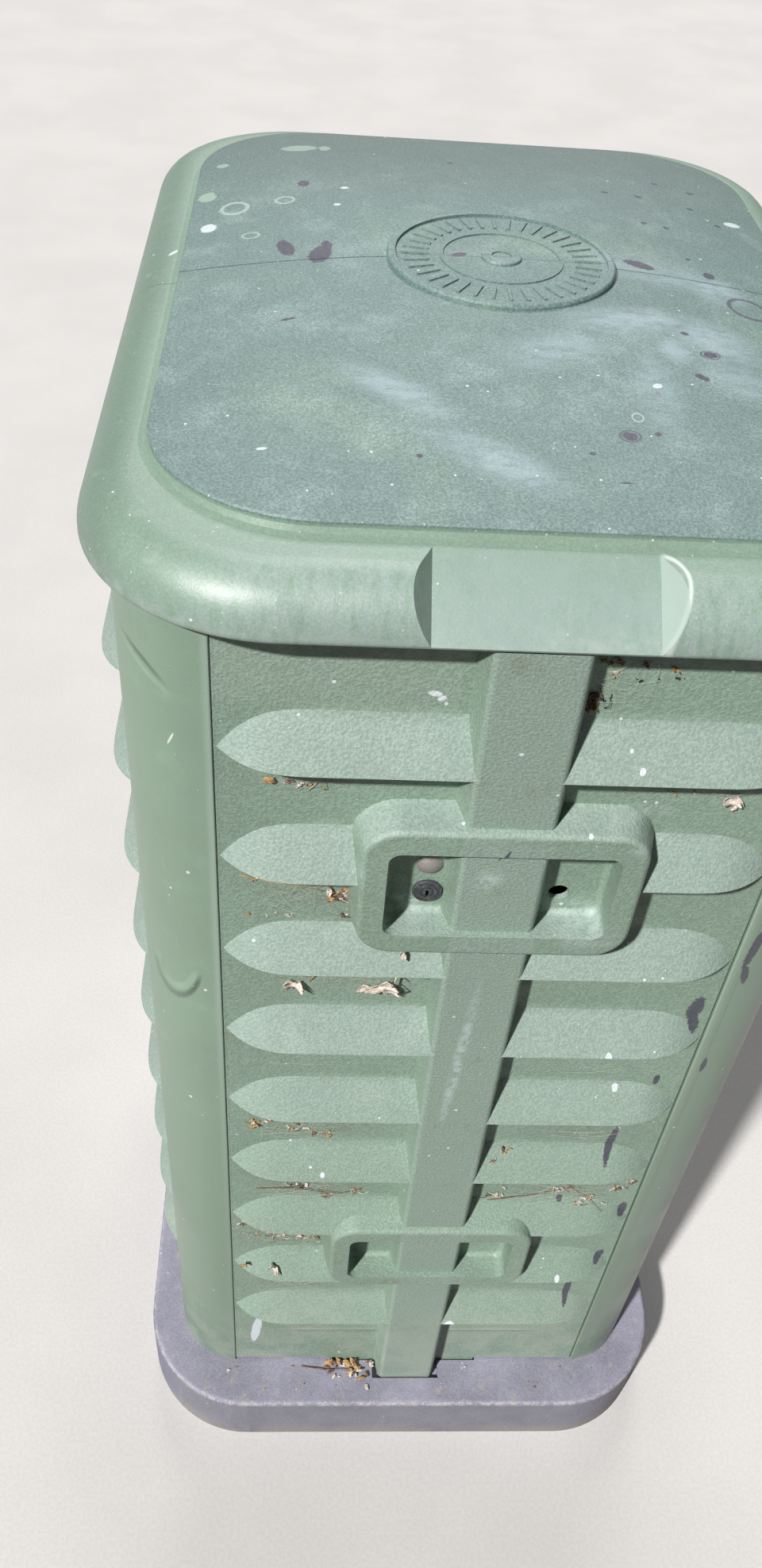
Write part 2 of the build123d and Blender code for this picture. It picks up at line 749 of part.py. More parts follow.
def make_lock_body():
    face = -body_half_y
    head = along_y(lock_head, -lock_x, lock_z, face - lock_head_height, face)
    head = fillet(head.faces().sort_by(Axis.Y)[0].edges(), lock_edge_round)
    barrel = along_y(lock_barrel - running_gap, -lock_x, lock_z, face, lock_back() - 1.0)
    bore = along_y(lock_rotor + running_gap, -lock_x, lock_z, face - lock_head_height - 1.0, lock_back())
    front = face - lock_head_height
    outer = lock_head - lock_rim
    inner = lock_rotor + lock_collar
    groove = along_y(outer, -lock_x, lock_z, front - 1.0, front + lock_groove)
    groove = groove - along_y(inner, -lock_x, lock_z, front - 2.0, front + 1.0)
    body = head + barrel - bore - groove
    tick = Box((outer - inner) * 0.7, 2 * lock_tick_height, lock_tick_width)
    place = Pos(-lock_x, front + lock_groove, lock_z)
    for i in range(lock_ticks):
        body = body + place * Rot(0, 360 * i / lock_ticks, 0) * Pos((outer + inner) / 2, 0, 0) * tick
    return body


def make_lock_rotor():
    face = -body_half_y - lock_head_height
    rotor = along_y(lock_rotor, -lock_x, lock_z, face, lock_back())
    middle = lock_back() + cam_thickness / 2
    square = Pos(-lock_x, middle, lock_z) * Box(cam_square, cam_thickness, cam_square)
    rotor = rotor + square
    ring = along_y(lock_rotor - rotor_ring_outer, -lock_x, lock_z, face - 1.0, face + rotor_ring_depth)
    ring = ring - along_y(lock_rotor - rotor_ring_inner, -lock_x, lock_z, face - 2.0, face + 2.0)
    keyway = span(-lock_x - keyway_width / 2, -lock_x + keyway_width / 2, face - 1.0, face + keyway_depth,
                  lock_z - keyway_length, lock_z + keyway_rise)
    return rotor - ring - keyway


def make_lock_cam():
    """The cam in its open position, pointing across the cover."""
    plan = SlotCenterToCenter(cam_length - cam_width, cam_width)
    plate = Pos(-lock_x + (cam_length - cam_width) / 2, 0, lock_z) * facing_front(plan, 0, cam_thickness)
    plate = Pos(0, lock_back() + cam_thickness, 0) * plate
    middle = lock_back() + cam_thickness / 2
    square = Pos(-lock_x, middle, lock_z) * Box(cam_square, 2 * cam_thickness, cam_square)
    return plate - square


def make_lock_nut():
    inner = -body_half_y + wall + backing_sheet
    plan = RegularPolygon(nut_across / sqrt(3), 6) - Circle(lock_barrel - running_gap)
    nut = facing_front(plan, inner + nut_height, nut_height)
    return Pos(-lock_x, 0, lock_z) * nut


def make_backing_plate():
    inner = -body_half_y + wall
    plate = span(-lock_x - backing_side, -lock_x + backing_side, inner, inner + backing_sheet,
                 lock_z - backing_side, stud_z + backing_above_stud)
    through = (inner - 1.0, inner + backing_sheet + 1.0)
    plate = plate - along_y(lock_barrel, -lock_x, lock_z, *through)
    return plate - along_y(stud_shank + running_gap, -lock_x, stud_z, *through)


def make_stud():
    """A mushroom-headed bolt with its nut, above the lock."""
    face = -body_half_y
    ball = (stud_head ** 2 + stud_head_height ** 2) / (2 * stud_head_height)
    dome = Pos(-lock_x, face - stud_head_height + ball, stud_z) * Sphere(ball)
    dome = dome & along_y(stud_head, -lock_x, stud_z, face - stud_head_height - 1.0, face)
    inner = face + wall + backing_sheet
    shank = along_y(stud_shank, -lock_x, stud_z, face, inner + stud_thread)
    nut = facing_front(RegularPolygon(stud_nut, 6), inner + stud_nut_height, stud_nut_height)
    nut = Pos(-lock_x, 0, stud_z) * nut
    return dome + shank + nut


def make_seal(half_x, z0, z1):
    """A foam strip round the cover opening, stuck to the seat."""
    outer = span(-half_x, half_x, -seat_face - seal_thickness, -seat_face, z0, z1)
    inner = span(-half_x + seal_width, half_x - seal_width,
                 -seat_face - seal_thickness - 1.0, -seat_face + 1.0,
                 z0 + seal_width, z1 - seal_width)
    return outer - inner


def make_header(z0, z1):
    """A moulded strip between two posts, in line with the cover's seat."""
    return span(-seat_inner, seat_inner, -seat_face, -seat_face + wall, z0, z1)


def screw_down(x, y, top):
    head = upright_cylinder(screw_head, x, y, top - screw_head_height, top)
    shank = upright_cylinder(screw_radius, x, y, top, top + screw_length - 3.0)
    hexagon = extrude(RegularPolygon(screw_socket, 6), screw_socket_depth)
    hexagon = Pos(x, y, top - screw_head_height) * hexagon
    return head + shank - hexagon


def make_model():
    keep("base_plinth", make_plinth())
    keep("bottom_frame", angle_ring(deck_z, False))
    keep("top_frame", make_top_frame())
    post = make_post()
    keep("corner_post_front_right", post)
    keep("corner_post_front_left", post.mirror(Plane.YZ))
    keep("corner_post_rear_right", post.mirror(Plane.XZ))
    keep("corner_post_rear_left", to_rear(post))
    side = make_side_panel()
    keep("side_panel_left", side)
    keep("side_panel_right", to_rear(side))
    keep("roof", make_roof())

    header = make_header(cover_top - header_overlap, post_top)
    sill = make_header(deck_z, cover_bottom + header_overlap)
    seal = make_seal(cover_half, cover_bottom, cover_top)
    lock_rail = make_lock_rail()
    ends = (("front", lambda shape: shape), ("rear", to_rear))
    cover_parts = {
        "cover": make_cover(),
        "header": header,
        "sill": sill,
        "cover_seal": seal,
        "lock_rail": lock_rail,
        "lock_body": make_lock_body(),
        "lock_rotor": make_lock_rotor(),
        "lock_cam": make_lock_cam(),
        "lock_nut": make_lock_nut(),
        "lock_backing_plate": make_backing_plate(),
        "cover_stud": make_stud(),
    }
    for end, place in ends:
        for name, shape in cover_parts.items():
            keep(end + "_" + name, place(shape))

    keep("gland_plate", make_gland_plate())
    keep("cable_grommets", Compound(children=[make_grommet(x, y) for x, y in grommet_places()]))
    keep("equipment_upright_left", make_upright(-upright_x))
    keep("equipment_upright_right", make_upright(upright_x))
    keep("equipment_top_rail", make_top_rail())
    for name, z in zip(("lower", "middle", "upper"), rail_z):
        keep("equipment_rail_" + name, make_cross_rail(z))
    for name, x in (("left", -module_column_x), ("right", module_column_x)):
        keep("mounting_bar_" + name, make_mounting_bar(x))
        blocks = [make_module(x, module_first_z + module_pitch * i) for i in range(module_rows)]
        keep("terminal_blocks_" + name, Compound(children=blocks))
    bar = span(-earth_bar_length / 2, earth_bar_length / 2, -upright_depth / 2,
               -upright_depth / 2 + earth_bar_thickness,
               rail_z[0] - earth_bar_height / 2, rail_z[0] + earth_bar_height / 2)
    keep("earth_bar", bar)
    screws = [screw_down(x, y, post_top - 1.0) for x in (-roof_boss_x, roof_boss_x)
              for y in (-roof_boss_y, 0, roof_boss_y)]
    keep("roof_screws", Compound(children=screws))


make_model()
for node_name, node_shape in model.items():
    export_step(node_shape, "parts/" + node_name + ".step")
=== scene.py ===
import json
import math
import random

import bmesh
import bpy
from mathutils import Matrix, Vector, noise


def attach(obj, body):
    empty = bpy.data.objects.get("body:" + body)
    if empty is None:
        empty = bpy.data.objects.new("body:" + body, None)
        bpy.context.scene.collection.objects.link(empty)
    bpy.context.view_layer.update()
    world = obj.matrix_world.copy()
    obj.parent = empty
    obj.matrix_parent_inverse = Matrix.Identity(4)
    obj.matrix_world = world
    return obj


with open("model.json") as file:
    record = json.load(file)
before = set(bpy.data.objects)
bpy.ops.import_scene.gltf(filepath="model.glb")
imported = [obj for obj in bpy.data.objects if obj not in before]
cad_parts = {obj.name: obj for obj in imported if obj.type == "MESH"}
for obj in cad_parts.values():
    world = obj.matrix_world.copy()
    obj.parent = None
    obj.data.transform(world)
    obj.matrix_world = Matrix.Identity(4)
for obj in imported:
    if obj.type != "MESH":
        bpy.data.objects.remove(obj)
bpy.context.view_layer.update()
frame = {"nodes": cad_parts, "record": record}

# Camera, where the photograph was taken from
CAMERA_PLACE = (-0.1365, -0.9459, 1.5817)
CAMERA_TURN = (45.644766, -3.640235, -1.410208)
CAMERA_LENS = 29.42
CAMERA_SENSOR = 36.0

# Light: a lamp from above the front left, a broad weak one from behind, and the room
KEY_TRAVEL = (0.8, 1.0, -1.22)
KEY_STRENGTH = 4.85
KEY_ANGLE = 3.0
KEY_COLOUR = (1.0, 0.985, 0.965)
FILL_TRAVEL = (-0.05, -0.75, -0.8)
FILL_STRENGTH = 1.15
FILL_ANGLE = 25.0
FILL_COLOUR = (1.0, 1.0, 1.0)
ROOM_COLOUR = (0.86, 0.93, 1.0)
ROOM_STRENGTH = 0.03
ROOM_PALE = (0.38, 0.385, 0.39)

# The floor is pale to look at and dim in the light that it throws back
FLOOR_PALE = (0.6, 0.585, 0.575)
FLOOR_BOUNCE = 0.06
FLOOR_SIZE = 30.0

# Colours of the posts, as linear values
POST_GREEN = (0.228, 0.322, 0.24)
# Painted highlight on the ridge along the front posts' inner edges
RIDGE_HIGHLIGHT_GREEN = (0.33, 0.425, 0.355)
POST_RUNS = (0.4, 0.47, 0.42)
POST_SCRATCHES = (0.45, 0.53, 0.46)

# Colours of the roof's crown, rim and hand hold
# The crown's green is tinted bluer than the rim's as a painted sky reflection
ROOF_GREEN = (0.146, 0.224, 0.212)
ROOF_DUST = (0.29, 0.385, 0.375)
ROOF_MOSS = (0.215, 0.315, 0.245)
ROOF_FINE_SPECK = (0.58, 0.68, 0.64)
ROOF_WHITE = (0.66, 0.74, 0.76)
CHALK = (0.5, 0.61, 0.7)
LICHEN = (0.4, 0.55, 0.45)
LICHEN_RING = (0.5, 0.6, 0.56)
RIM_GREEN = (0.208, 0.304, 0.236)
# Paint worn by rubbing on the rim's front, with a painted sheen
RUBBED_AND_SHEEN_GREEN = (0.375, 0.45, 0.44)
RIM_WORN = (0.36, 0.44, 0.39)
RIM_SKIRT = (0.38, 0.45, 0.41)
RIM_RUNS = (0.42, 0.5, 0.45)
RECESS_GREEN = (0.268, 0.352, 0.326)
# Painted highlight on the hand hold's right lip, and painted light on its right slope
RECESS_LIP_HIGHLIGHT_GREEN = (0.68, 0.75, 0.7)
RECESS_SLOPE_LIT_GREEN = (0.4, 0.49, 0.44)

# Colours of the louvred panels
COVER_GREEN = (0.248, 0.342, 0.268)
# Faces turned up: partly bleaching, partly a painted sheen
SLOPE_BLEACH_AND_SHEEN_GREEN = (0.302, 0.39, 0.34)
BLEACHED_GREEN = (0.42, 0.51, 0.45)
FRONT_HIGH_GREEN = (0.3, 0.385, 0.315)
STRAP_GREEN = (0.285, 0.372, 0.315)
COVER_FINE_SPECK = (0.62, 0.7, 0.64)
FRONT_WHITE = (0.74, 0.8, 0.84)
GRIME = (0.2, 0.22, 0.15)
EARTH = (0.16, 0.135, 0.095)
STRAW = (0.5, 0.43, 0.31)
SCUFF = (0.5, 0.58, 0.56)

# Colours of the plinth
PLINTH_GREY = (0.255, 0.25, 0.295)
# Painted shade: the plinth's faces turned to the left are darker and bluer
PLINTH_LEFT_SHADE_GREY = (0.215, 0.217, 0.29)
# Painted sky light: faces turned up are lighter and bluer
DECK_SKYLIT_GREY = (0.286, 0.278, 0.355)
DECK_SAND = (0.42, 0.385, 0.34)
PLINTH_DUST = (0.36, 0.33, 0.29)
PLINTH_RUNS = (0.36, 0.35, 0.37)
# Painted highlight along the plinth's rounded top edge
PLINTH_EDGE_HIGHLIGHT = (0.46, 0.45, 0.47)
PALE_GRIT = (0.56, 0.53, 0.48)
DARK_GRIT = (0.1, 0.09, 0.09)

# Colours that several surfaces share
DUST = (0.5, 0.5, 0.44)
PAINT_SPECK = (0.78, 0.83, 0.8)
BERRY = (0.035, 0.028, 0.06)
BERRY_SKIN = (0.14, 0.13, 0.2)
DULL_ZINC = (0.42, 0.42, 0.4)

# The two faces that marks lie on, and where they are, in metres
ON_FRONT = "front"
ON_ROOF = "roof"
FRONT_Y = -0.365
CROWN_Z = 1.19

# The covers' panel and louvres, in metres, with the crease that shading makes soft
PANEL_Y = -0.357
CREASE_Z = 1.068
PITCH = 0.1006
LOUVRE_HEIGHT = 0.0385
LOUVRE_DEPTH = 0.02
CREASE_SOFT = 0.007
CREASE_DEPTH = CREASE_SOFT * 0.12

# Half lengths of the louvres without their tips, and how far the soft crease fades past and before
COVER_CORE = 0.128
SIDE_CORE = 0.227
TIP_FADE_OUT = 0.02
TIP_FADE_IN = 0.012

# Where strap and rings break the crease: a ring has its middle height and half height
STRAP_SIDE_X = (0.036, 0.041)
RING_HALF_WIDTH = 0.108
RING_BANDS = ((0.925, 0.074), (0.386, 0.068))

# Dirt under a lip, as shares of the pitch below the crease
UNDER_LIP_START = (0.36, 0.4)
UNDER_LIP_END = (0.66, 0.42)

# Bands in which a tone fades in, from none to full, in metres along X, Y or Z
POST_RIDGE_X = (0.1995, 0.1945)
POST_RIDGE_Y = (-0.356, -0.3568)
POST_FOOT_Z = (0.85, 0.3)
POST_DUST_Z = (0.26, 0.09)
DENT_LIP_Z = (0.803, 0.785)
FRONT_HIGH_X = (-0.036, -0.046)
FRONT_HIGH_Z = (1.06, 1.085)
STRAP_CORE_X = (0.0315, 0.0285)
STRAP_CORE_Y = (-0.372, -0.3755)
LOWEST_SLOPES_Z = (0.76, 0.46)
COVER_DUST_Z = (0.34, 0.1)
CROWN_FOOT_Z = (1.177, 1.18)
ROOF_REAR_Y = (0.02, 0.3)
SEAM_Y = (0.0011, 0.0004)
SEAM_RIM_X = (-0.232, -0.24)
RIM_LEFT_X = (-0.236, -0.262)
RIM_FRONT_X = (-0.235, -0.15)
RIM_FRONT_Y = (-0.34, -0.362)
RIM_SKIRT_Z = (1.15, 1.137)
RECESS_BED_X = (0.078, 0.056)
RECESS_BED_Y = (-0.331, -0.334)
RECESS_LIP_X = (0.064, 0.07)
RECESS_SLOPE_X = (0.058, 0.064)
PLINTH_FOOT_Z = (0.03, 0.004)
PLINTH_EDGE_Z = (0.0775, 0.0815)

# How soft a mark's edge is, as a share of its size
SPOT_SOFT = 0.1
SMEAR_SOFT = 0.75

# Bead on the front cover's left edge: heights of its ends, and its section as x, y
BEAD_HEIGHTS = (0.088, 1.127)
BEAD_STEPS = 90
BEAD_SWAY = 0.00004
BEAD_SECTION = [
    (-0.19236, -0.3556), (-0.19236, -0.3569), (-0.19215, -0.3571), (-0.191, -0.35712),
    (-0.1899, -0.35702), (-0.1899, -0.3556),
]

# Litter on the plinth's deck: the drift left of the tongue, and the crumbs along the front
DECK_Z = 0.0843
DRIFT_X = (-0.095, -0.036)
DRIFT_Y = -0.3605
CRUMBS_X = (-0.22, 0.2)
CRUMBS_Y = (-0.392, -0.366)
TONGUE_HALF = 0.04

# Marks on the roof: x, y, half width, half length, turn in degrees, and a smear's strength
ROOF_BERRY = [
    (-0.1596, 0.0236, 0.0061, 0.0149, 14), (-0.1339, 0.0083, 0.0083, 0.015, -12),
    (-0.129, 0.0235, 0.004, 0.009, 8), (-0.1485, 0.1548, 0.0047, 0.0072, 0),
    (0.1616, 0.0139, 0.0046, 0.0057, 0), (0.1326, -0.1261, 0.0054, 0.0042, 20),
    (0.1201, -0.1594, 0.0059, 0.003, -40), (0.12, -0.0975, 0.003, 0.0026, 0),
    (0.0606, -0.233, 0.0051, 0.0045, 0), (0.0786, -0.2296, 0.0023, 0.0021, 0),
    (0.0345, -0.2526, 0.0021, 0.002, 0), (0.1505, 0.0404, 0.0022, 0.0022, 0),
    (-0.0716, -0.2622, 0.0022, 0.002, 0), (0.1065, 0.0136, 0.0122, 0.006, -24),
    (-0.1547, -0.098, 0.0056, 0.0018, 16), (0.0522, -0.2797, 0.0044, 0.0009, 4),
    (0.1322, 0.1653, 0.0037, 0.003, 0), (0.1259, 0.1024, 0.003, 0.0025, 30),
    (0.1441, 0.1002, 0.003, 0.0024, -20), (0.1842, 0.1969, 0.0034, 0.003, 0),
    (0.1755, 0.155, 0.003, 0.0026, 0), (0.1942, 0.1282, 0.003, 0.0026, 0),
    (0.1549, 0.2093, 0.0032, 0.0026, 0), (0.1039, 0.1673, 0.003, 0.0028, 0),
    (-0.0231, 0.2302, 0.003, 0.003, 0), (-0.0315, 0.0024, 0.006, 0.0035, 25),
]
ROOF_HOOPS = [
    (0.182, -0.0363, 0.015, 0.0165, 20), (0.0606, -0.233, 0.0066, 0.0058, 0),
    (0.1325, -0.1262, 0.007, 0.0057, 20),
]
ROOF_LICHEN = [
    (-0.2268, 0.1436, 0.0072, 0.0099, 0), (-0.2189, 0.2139, 0.0052, 0.0049, 0),
    (-0.1543, 0.2578, 0.0155, 0.0092, 10), (-0.1319, 0.259, 0.005, 0.0077, 0),
]
ROOF_RINGS = [
    (-0.2029, 0.1126, 0.0102, 0.0119, 0), (-0.1872, 0.0535, 0.0064, 0.0055, 0),
    (-0.163, 0.1204, 0.0072, 0.0069, 0), (0.0684, -0.2126, 0.0036, 0.0044, 0),
]
ROOF_WHITES = [
    (-0.1152, 0.1421, 0.0033, 0.003, 0), (-0.121, 0.1045, 0.0028, 0.0024, 0),
    (0.2093, 0.1391, 0.0076, 0.005, 15), (-0.1659, -0.259, 0.0032, 0.0014, 10),
    (-0.2474, 0.0571, 0.0061, 0.0016, 60), (-0.2212, 0.0773, 0.0062, 0.008, 0),
    (0.0871, -0.175, 0.0034, 0.0026, 30),
]
ROOF_SMEARS = [
    (-0.0834, -0.1934, 0.037, 0.012, -38, 0.75), (-0.0232, -0.2634, 0.04, 0.014, -36, 0.75),
    (0.0245, -0.1355, 0.033, 0.019, 24, 0.55), (0.0863, -0.0862, 0.04, 0.016, 12, 0.85),
    (0.1403, -0.103, 0.032, 0.023, -40, 0.8), (0.1503, -0.1575, 0.023, 0.018, -50, 0.55),
    (0.1611, -0.0112, 0.019, 0.02, 0, 0.95), (0.1198, 0.0018, 0.044, 0.02, -8, 0.6),
    (0.1073, -0.1252, 0.011, 0.015, 0, 0.75), (0.0871, -0.1788, 0.013, 0.042, 0, 0.5),
]

# The round right end of the front hand hold, as such a row
RECESS_END = (0.066, -0.356, 0.013, 0.0235, 0)

# Marks on the front cover: x, z, half width, half height, turn in degrees, and a strength
FRONT_BERRY = [
    (-0.0016, 0.965, 0.0012, 0.0085, 20), (0.1772, 0.7699, 0.0062, 0.014, 8),
    (0.1795, 0.752, 0.0045, 0.013, -14), (0.1478, 0.5689, 0.0036, 0.026, 5),
    (0.158, 0.2701, 0.0036, 0.027, 0), (0.168, 0.6679, 0.0027, 0.007, 0),
    (0.1182, 0.4656, 0.003, 0.006, 0), (0.1533, 0.4191, 0.003, 0.004, 0),
    (0.1773, 0.3478, 0.0045, 0.01, 12), (0.1824, 0.4451, 0.0046, 0.011, 0),
]
FRONT_WHITES = [
    (-0.0575, 1.0835, 0.0042, 0.0022, 10), (-0.053, 1.08, 0.003, 0.002, -20),
    (-0.05, 1.076, 0.0012, 0.0014, 0), (0.0518, 0.9864, 0.0015, 0.001, 0),
    (0.0764, 1.0382, 0.0019, 0.0026, 0), (-0.1188, 1.0902, 0.0013, 0.0013, 0),
    (-0.003, 1.054, 0.0015, 0.0013, 0), (0.0505, 0.8917, 0.0015, 0.0015, 0),
    (0.1128, 0.7276, 0.0028, 0.005, 0), (0.1338, 0.6598, 0.0026, 0.0038, 0),
    (0.1501, 0.5897, 0.0026, 0.0034, 0), (0.1358, 0.3296, 0.0024, 0.0045, 0),
    (0.0364, 0.2222, 0.006, 0.0062, 15), (-0.169, 0.164, 0.005, 0.033, 6),
    (0.115, 1.017, 0.0012, 0.0012, 0), (0.097, 0.996, 0.0011, 0.0013, 0),
    (-0.108, 0.533, 0.002, 0.0026, 0), (-0.117, 0.525, 0.0015, 0.0018, 0),
    (-0.106, 0.522, 0.0014, 0.0014, 0), (-0.119, 0.54, 0.0013, 0.0012, 0),
    (0.068, 1.05, 0.0011, 0.0013, 0), (0.025, 1.02, 0.001, 0.001, 0),
]
FRONT_SCUFFS = [
    (-0.0093, 0.938, 0.0075, 0.009, 20, 0.8), (-0.0068, 0.716, 0.0036, 0.078, 3, 1.0),
    (0.064, 0.886, 0.02, 0.012, 0, 0.55), (-0.058, 0.893, 0.013, 0.0035, 10, 0.85),
    (0.0903, 0.9894, 0.018, 0.0042, 3, 0.55), (0.086, 0.976, 0.006, 0.004, 0, 0.5),
    (-0.054, 0.888, 0.013, 0.006, 0, 0.5), (-0.096, 0.945, 0.003, 0.01, 0, 0.35),
    (0.03, 0.56, 0.004, 0.03, 6, 0.4), (0.12, 0.39, 0.03, 0.008, 0, 0.3),
]
FRONT_DIRT = [
    (-0.125, 0.902, 0.033, 0.013, 0, 0.75), (-0.112, 0.895, 0.016, 0.011, 0, 0.85),
    (-0.12, 0.799, 0.04, 0.009, 0, 0.6), (-0.115, 0.59, 0.045, 0.011, 0, 0.75),
    (-0.115, 0.488, 0.045, 0.011, 0, 0.8), (-0.14, 0.387, 0.045, 0.02, 0, 0.9),
    (-0.155, 0.41, 0.03, 0.02, 0, 0.7), (0.115, 0.49, 0.06, 0.012, 0, 0.7),
    (0.12, 0.587, 0.045, 0.009, 0, 0.5), (0.042, 1.088, 0.004, 0.022, 0, 0.6),
    (-0.043, 0.336, 0.02, 0.007, 0, 0.6), (-0.13, 1.005, 0.03, 0.003, 0, 0.5),
    (0.052, 0.34, 0.02, 0.006, 0, 0.5), (-0.125, 0.28, 0.045, 0.012, 0, 0.6),
    (-0.12, 0.18, 0.05, 0.012, 0, 0.5), (0.12, 0.285, 0.05, 0.01, 0, 0.45),
]

# Marks on the front posts, as on the cover
POST_DENT = (-0.226, 0.8, 0.015, 0.033, 8)
POST_CREASE = (-0.2335, 1.087, 0.0045, 0.02, -48)
LEFT_POST_WHITES = [
    (-0.219, 1.035, 0.0007, 0.0058, 22), (-0.213, 0.912, 0.0013, 0.0013, 0),
    (-0.205, 0.78, 0.0012, 0.0014, 0), (-0.223, 0.62, 0.0014, 0.0016, 0),
]
RIGHT_POST_BERRY = [
    (0.2044, 0.8441, 0.0042, 0.024, 6), (0.2056, 0.812, 0.0032, 0.012, -10),
    (0.203, 0.69, 0.0026, 0.01, 0),
]

# One seed, so that each run gives the same litter
SEED = 41
rng = random.Random(SEED)
noise.seed_set(SEED)


def rgba(colour):
    return (*colour, 1.0)


def shade(colour, share):
    return tuple(part * share for part in colour)


class Coat:
    """A procedural material whose nodes are added one after another."""

    def __init__(self, name, colour, roughness, metallic=0.0, specular=0.5):
        self.material = bpy.data.materials.new(name)
        self.material.use_nodes = True
        self.tree = self.material.node_tree
        self.shader = self.tree.nodes["Principled BSDF"]
        self.shader.inputs["Roughness"].default_value = roughness
        self.shader.inputs["Metallic"].default_value = metallic
        self.shader.inputs["Specular IOR Level"].default_value = specular
        sockets = self.node("ShaderNodeTexCoord").outputs
        self.place = sockets["Object"]
        self.normal = self.parts(sockets["Normal"])
        self.spot = self.parts(self.place)
        self.colour = rgba(colour)
        self.torn = None

    def wire(self, source, target):
        if isinstance(source, (int, float, tuple)):
            target.default_value = source
        else:
            self.tree.links.new(source, target)

    def node(self, kind, inputs=None, **settings):
        """Adds a node with its settings, and gives its inputs their values or links."""
        made = self.tree.nodes.new(kind)
        for key, value in settings.items():
            setattr(made, key, value)
        for key, source in (inputs or {}).items():
            self.wire(source, made.inputs[key])
        return made

    def parts(self, vector):
        return self.node("ShaderNodeSeparateXYZ", {"Vector": vector}).outputs

    def noise(self, scale, detail=3.0, roughness=0.55, distortion=0.0, place=None):
        made = self.node("ShaderNodeTexNoise", {
            "Vector": place or self.place, "Scale": scale, "Detail": detail,
            "Roughness": roughness, "Distortion": distortion})
        return made.outputs["Fac"]

    def streaks(self, scale, detail, roughness=0.55, turn=0.0):
        """Noise drawn out along the axes whose scale is low."""
        drawn = self.node("ShaderNodeMapping", {
            "Vector": self.place, "Scale": scale, "Rotation": (0.0, math.radians(turn), 0.0)})
        return self.noise(1.0, detail, roughness, place=drawn.outputs["Vector"])

    def cells(self, scale):
        return self.node("ShaderNodeTexVoronoi", {"Vector": self.place, "Scale": scale}).outputs

    def ramp(self, source, start, end, low=0.0, high=1.0):
        made = self.node("ShaderNodeMapRange", {
            "Value": source, "From Min": start, "From Max": end, "To Min": low, "To Max": high},
            interpolation_type="SMOOTHSTEP")
        return made.outputs["Result"]

    def math(self, operation, first, second=0.0):
        return self.node("ShaderNodeMath", {0: first, 1: second}, operation=operation).outputs[0]

    def both(self, first, second):
        """Where two masks meet."""
        return self.math("MULTIPLY", first, second)

    def band(self, axis, limits, mirrored=False):
        """Fades in between two places along an axis, and alike on its other side if mirrored."""
        place = self.spot[axis]
        if mirrored:
            place = self.math("ABSOLUTE", place)
        return self.ramp(place, *limits)

    def facing(self, axis, start, end):
        """Fades in as the surface turns towards an axis, or away from it."""
        return self.ramp(self.normal[axis], start, end)

    def cover(self, mask, colour, strength=1.0):
        """Lays a colour over what is there, where the mask is."""
        made = self.node("ShaderNodeMix", data_type="RGBA")
        self.wire(self.math("MULTIPLY", mask, strength), made.inputs["Factor"])
        self.wire(self.colour, made.inputs["A"])
        self.wire(rgba(colour), made.inputs["B"])
        self.colour = made.outputs["Result"]

    def dim(self, amount):
        """Multiplies the colour by a grey amount."""
        made = self.node("ShaderNodeMix", {"Factor": 1.0}, data_type="RGBA", blend_type="MULTIPLY")
        grey = self.node("ShaderNodeCombineColor", {"Red": amount, "Green": amount, "Blue": amount})
        self.wire(self.colour, made.inputs["A"])
        self.wire(grey.outputs["Color"], made.inputs["B"])
        self.colour = made.outputs["Result"]

    def ragged(self):
        """The grain that frays the edges of marks, made once for a material."""
        if self.torn is None:
            grain = self.math("SUBTRACT", self.noise(330.0, 4.0, 0.65), 0.5)
            self.torn = self.math("MULTIPLY", grain, 1.1)
        return self.torn

    def reach(self, row, face):
        """Distance from the middle of an ellipse, 1 on its edge."""
        across, along, half_across, half_along, turn = row[:5]
        angle = math.radians(turn)
        if face == ON_ROOF:
            fit = {"Location": (across, along, CROWN_Z), "Rotation": (0.0, 0.0, angle),
                   "Scale": (half_across, half_along, 1.0)}
        else:
            fit = {"Location": (across, FRONT_Y, along), "Rotation": (0.0, angle, 0.0),
                   "Scale": (half_across, 1.0, half_along)}
        made = self.node("ShaderNodeMapping", {"Vector": self.place, **fit}, vector_type="TEXTURE")
        size = self.node("ShaderNodeVectorMath", {0: made.outputs["Vector"]}, operation="LENGTH")
        return size.outputs["Value"]

    def nearest(self, rows, face):
        """The least reach of all rows."""
        found = self.reach(rows[0], face)
        for row in rows[1:]:
            found = self.math("MINIMUM", found, self.reach(row, face))
        return found

    def spots(self, rows, face, torn=0.6):
        """Filled marks with frayed edges."""
        edge = self.math("MULTIPLY", self.ragged(), torn)
        distance = self.math("ADD", self.nearest(rows, face), edge)
        return self.ramp(distance, 1.0 + SPOT_SOFT, 1.0 - SPOT_SOFT)

    def hoops(self, rows, face, width):
        """Marks of which only the edge is there."""
        edge = self.math("MULTIPLY", self.ragged(), 0.3)
        distance = self.math("ADD", self.nearest(rows, face), edge)
        off = self.math("ABSOLUTE", self.math("SUBTRACT", distance, 1.0))
        return self.ramp(off, width, width * 0.4)

    def smears(self, rows, face):
        """Soft patches, each with its own strength in its last number."""
        total = None
        for row in rows:
            distance = self.reach(row, face)
            patch = self.ramp(distance, 1.0 + SMEAR_SOFT, 1.0 - SMEAR_SOFT, 0.0, row[5])
            total = patch if total is None else self.math("MAXIMUM", total, patch)
        return total

    def specks(self, scale, size, colour, strength):
        """Small round dots strewn all over, few of them large."""
        found = self.cells(scale)
        own = self.parts(found["Color"])
        limit = self.math("MULTIPLY", self.math("POWER", own[0], 3.0), size)
        gap = self.math("SUBTRACT", found["Distance"], limit)
        self.cover(self.ramp(gap, 0.012, -0.012), colour, strength)

